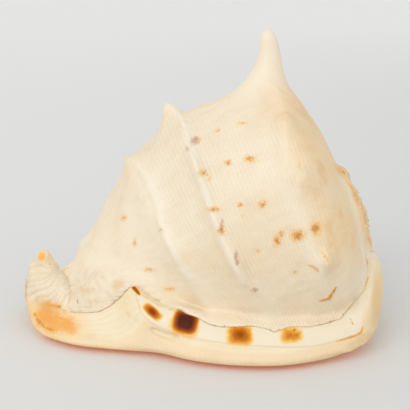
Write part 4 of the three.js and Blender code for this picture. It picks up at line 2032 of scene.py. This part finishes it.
    def build(self, cutters: list[bpy.types.Object]) -> tuple[bpy.types.Object, BVHTree]:
        """Makes the shield.

        Args:
            cutters: The spaces that stay open.

        Returns:
            The piece, with its fields, and its surface for the whorl.
        """
        piece = self.base()
        rolls = ((OLD_LIP, 40, 160), (OUTER_LIP, 40, 140), (FASCIOLE, 40, 80), (CANAL_END, 32, 24))
        Form.combine(piece, [roll.build(slices, stacks) for roll, slices, stacks in rolls], "UNION")
        Form.combine(piece, cutters, "DIFFERENCE", keep=True)
        Form.soften(piece, self.voxel, 3)
        self.round_corners(piece.data)
        Form.soften(piece, self.voxel, 9)
        fields = self.carve(piece.data)
        faces = [tuple(face.vertices) for face in piece.data.polygons]
        surface = BVHTree.FromPolygons(Form.points(piece.data).tolist(), faces)
        self.sink(piece.data)
        self.dress(piece.data, fields)
        return piece, surface

    def sink(self, mesh: bpy.types.Mesh) -> None:
        """Lowers the part that the whorl covers, so that the two surfaces lie clearly apart.

        Args:
            mesh: The shield's mesh.
        """
        points, normals = Form.points(mesh), Form.normals(mesh)
        across, down = VIEW.place(points).T
        covered = -EDGE.side(VIEW.place(points))
        share = self.covered.rise(covered) * self.sunk_left.rise(across) * (points[:, 1] < self.sunk_y)
        share *= (normals @ VIEW.axes()[1] > -0.2) * self.sunk_right.fall(across) * (down > self.sunk_down)
        share *= 1 + self.deeper.rise(covered)
        Form.move(mesh, points - normals * (self.sunk * share)[:, None])

    def carve(self, mesh: bpy.types.Mesh) -> dict[str, Array]:
        """Adds the pleats of the fasciole, the growth lines of the lips and the folds beside the mouth.

        Args:
            mesh: The shield's mesh.

        Returns:
            The fields of the pleats, the fan, the canal end's core and the teeth, by name.
        """
        points, normals = Form.points(mesh), Form.normals(mesh)
        fan, wave = FAN.pleats(points)
        height = waves(points, self.swellings) + FAN.height * fan * wave
        ring = np.linalg.norm((VIEW.place(points) - RING_MIDDLE) / (1, self.ring_tall), axis=1)
        ring = np.where(points[:, 1] < 2, ring, 99)
        height += 0.5 * np.exp(-(((ring - self.ring) / 1.1) ** 2)) - 1.2 * self.ring_hollow.fall(ring)
        place, skin = OLD_LIP.nearest(points)
        growth = np.sin(place * self.growth_lines + waves(points, ((2, 30, 33),)))
        height += self.lip_skin.fall(skin) * self.growth_height * growth
        x, y, z = (points - SHIFT).T
        under = self.facing_down.fall(normals[:, 2])
        lip = MOUTH.lip_front.rise(x) * MOUTH.lip_back.fall(x) * under * (z < MOUTH.lip_height)
        length = (MOUTH.tooth_to - MOUTH.tooth_from) / MOUTH.teeth
        folds = 0.5 + 0.5 * np.cos(2 * np.pi * (x - MOUTH.tooth_from) / length)
        reach = np.exp(-np.maximum(0, MOUTH.gap(x, y)) / MOUTH.lip_reach)
        rows = MOUTH.rows_front.rise(x) * MOUTH.rows_back.fall(x)
        moved = points + normals * (height * (1 - under))[:, None]
        moved[:, 2] += lip * (MOUTH.lip_raised * reach**2 + MOUTH.folds_raised * folds * rows * reach)
        moved[:, 2] = np.maximum(moved[:, 2], 0)
        Form.move(mesh, moved)
        # The pleats field marks the troughs, where the finish paints shade.
        return {"pleats": fan * np.clip(-wave, 0, 1), "fan": fan, "core": self.ring_core.fall(ring),
                "teeth": lip * rows * (1 - folds) * self.teeth.rise(reach)}

    def dress(self, mesh: bpy.types.Mesh, fields: dict[str, Array]) -> None:
        """Adds the fields that the finish reads, and the finish.

        Args:
            mesh: The shield's mesh.
            fields: The fields that are known from the shaping, by name.
        """
        points, normals = Form.points(mesh), Form.normals(mesh)
        facing = (normals @ VIEW.axes()[1] > -0.1) & (points[:, 1] < 10)
        paint_marks(mesh, SHIELD_MARKS, facing)
        places = VIEW.place(points)
        band = self.above_crease.rise(-CREASE.side(places)) * self.below_edge.rise(EDGE.side(places)) * facing
        band *= (places[:, 0] > CREASE.places[0][0]) & (places[:, 0] < CREASE.places[-1][0])
        gap = find_nearest(points[:, :2], self.edge(200) + SHIFT[:2])[1]
        x, y, z = (points - SHIFT).T
        down = self.flat_down.fall(normals[:, 2])
        low = down * self.low.fall(z)
        inside = low + (1 - down) * self.at_mouth.fall(MOUTH.gap(x, y)) * self.in_mouth.fall(z) * (z > 0)
        middle, end = self.glaze_along
        inside *= np.where(np.abs(x) < middle, self.glaze_height.fall(z), np.abs(x) < end)
        Form.finish(mesh, ShieldFinish().make(), fields | {
            "seam": seam_distance(points, facing),
            # Distance from the crease below the old lip, where the finish paints shade.
            "crease_shade": np.where(facing, CREASE.distance(places), OFF_SEAM),
            "band": band,
            "rim_lines": gap,
            "under": np.clip(inside, 0, 1),
            # Painted light: where the underside near the rim glows, standing in for light coming through the
            # shell.
            "painted_glow": low * self.painted_glow_inward.fall(gap),
            "warm": self.rim_inward.fall(gap) * 0.7,
        })


@dataclass(frozen=True)
class Studio:
    """The pale floor, whose colour holds painted light falloff, darker to the right and lighter far away, and
    the soft light.
    """

    half: float = 8.0
    # The floor's colours paint the light's falloff: darker toward the right and lighter far away.
    left: Colour = (231, 230, 228)
    right: Colour = (219, 218, 216)
    far: Colour = (236, 235, 233)
    sky: tuple[float, float, float, float] = (0.97, 0.985, 1, 1)
    sky_strength: float = 0.76

    def build(self) -> None:
        """Adds the floor, the lights and the light all round."""
        mesh = bpy.data.meshes.new("floor")
        corners = [(x * self.half, y * self.half, 0) for x, y in ((-1, -1), (1, -1), (1, 1), (-1, 1))]
        mesh.from_pydata(corners, [], [(0, 1, 2, 3)])
        paint = Paint("floor_with_painted_falloff")
        across, away, _ = paint.split(paint.space())
        # Painted light falloff: darker toward the right, lighter far away.
        colour = paint.mix(across.step(-0.35, 0.6), tone(*self.left), tone(*self.right))
        colour = paint.mix(away.step(0.2, 2.5), colour, tone(*self.far))
        grain = paint.bump(paint.noise(300), 0.0001, 1.0)
        mesh.materials.append(paint.close(colour, paint.noise(20, 2) * 0.1 + 0.6, grain, 0.0))
        floor = Form.add("floor", mesh)
        self.light("key", (-0.9, -1.2, 1.0), 45, 0.82, (1, 0.985, 0.96))
        self.light("fill", (1.0, -0.9, 0.9), 60, 0.3, (1, 0.99, 0.98))
        world = bpy.data.worlds.new("world")
        world.use_nodes = True
        background = world.node_tree.nodes["Background"]
        background.inputs["Color"].default_value = self.sky
        background.inputs["Strength"].default_value = self.sky_strength
        scene = bpy.context.scene
        scene.world = world
        scene.view_settings.view_transform = "Standard"
        scene.view_settings.look = "None"

    @staticmethod
    def light(name: str, place: tuple[float, float, float], spread: float, power: float,
              colour: Colour) -> None:
        """Adds a soft light that shines from a place onto everything.

        Args:
            name: Its name.
            place: Where it comes from.
            spread: The angle it fills in degrees.
            power: Its strength.
            colour: Its colour.
        """
        data = bpy.data.lights.new(name, "SUN")
        data.angle, data.energy, data.color = np.radians(spread), power, colour
        lamp = bpy.data.objects.new(name, data)
        lamp.location = place
        lamp.rotation_euler = Vector(place).to_track_quat("Z", "Y").to_euler()
        bpy.context.collection.objects.link(lamp)


def main() -> None:
    """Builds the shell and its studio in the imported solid's frame."""
    logging.basicConfig(level=logging.INFO, format="%(name)s: %(message)s")
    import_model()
    VIEW.add_camera()
    Studio().build()
    cutters = [Room().build(), MOUTH.build(), CANAL.build(32, 60)]
    shield, surface = Shield().build(cutters)
    for piece in (shield, Whorl().build(cutters, surface)):
        piece.data.shade_smooth()
        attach(piece, "root")
        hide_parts(NODE)
        piece.data.calc_loop_triangles()
        LOG.info("%s: %d triangles", piece.name, len(piece.data.loop_triangles))
    for cutter in cutters:
        bpy.data.objects.remove(cutter)


if __name__ == "__main__":
    main()
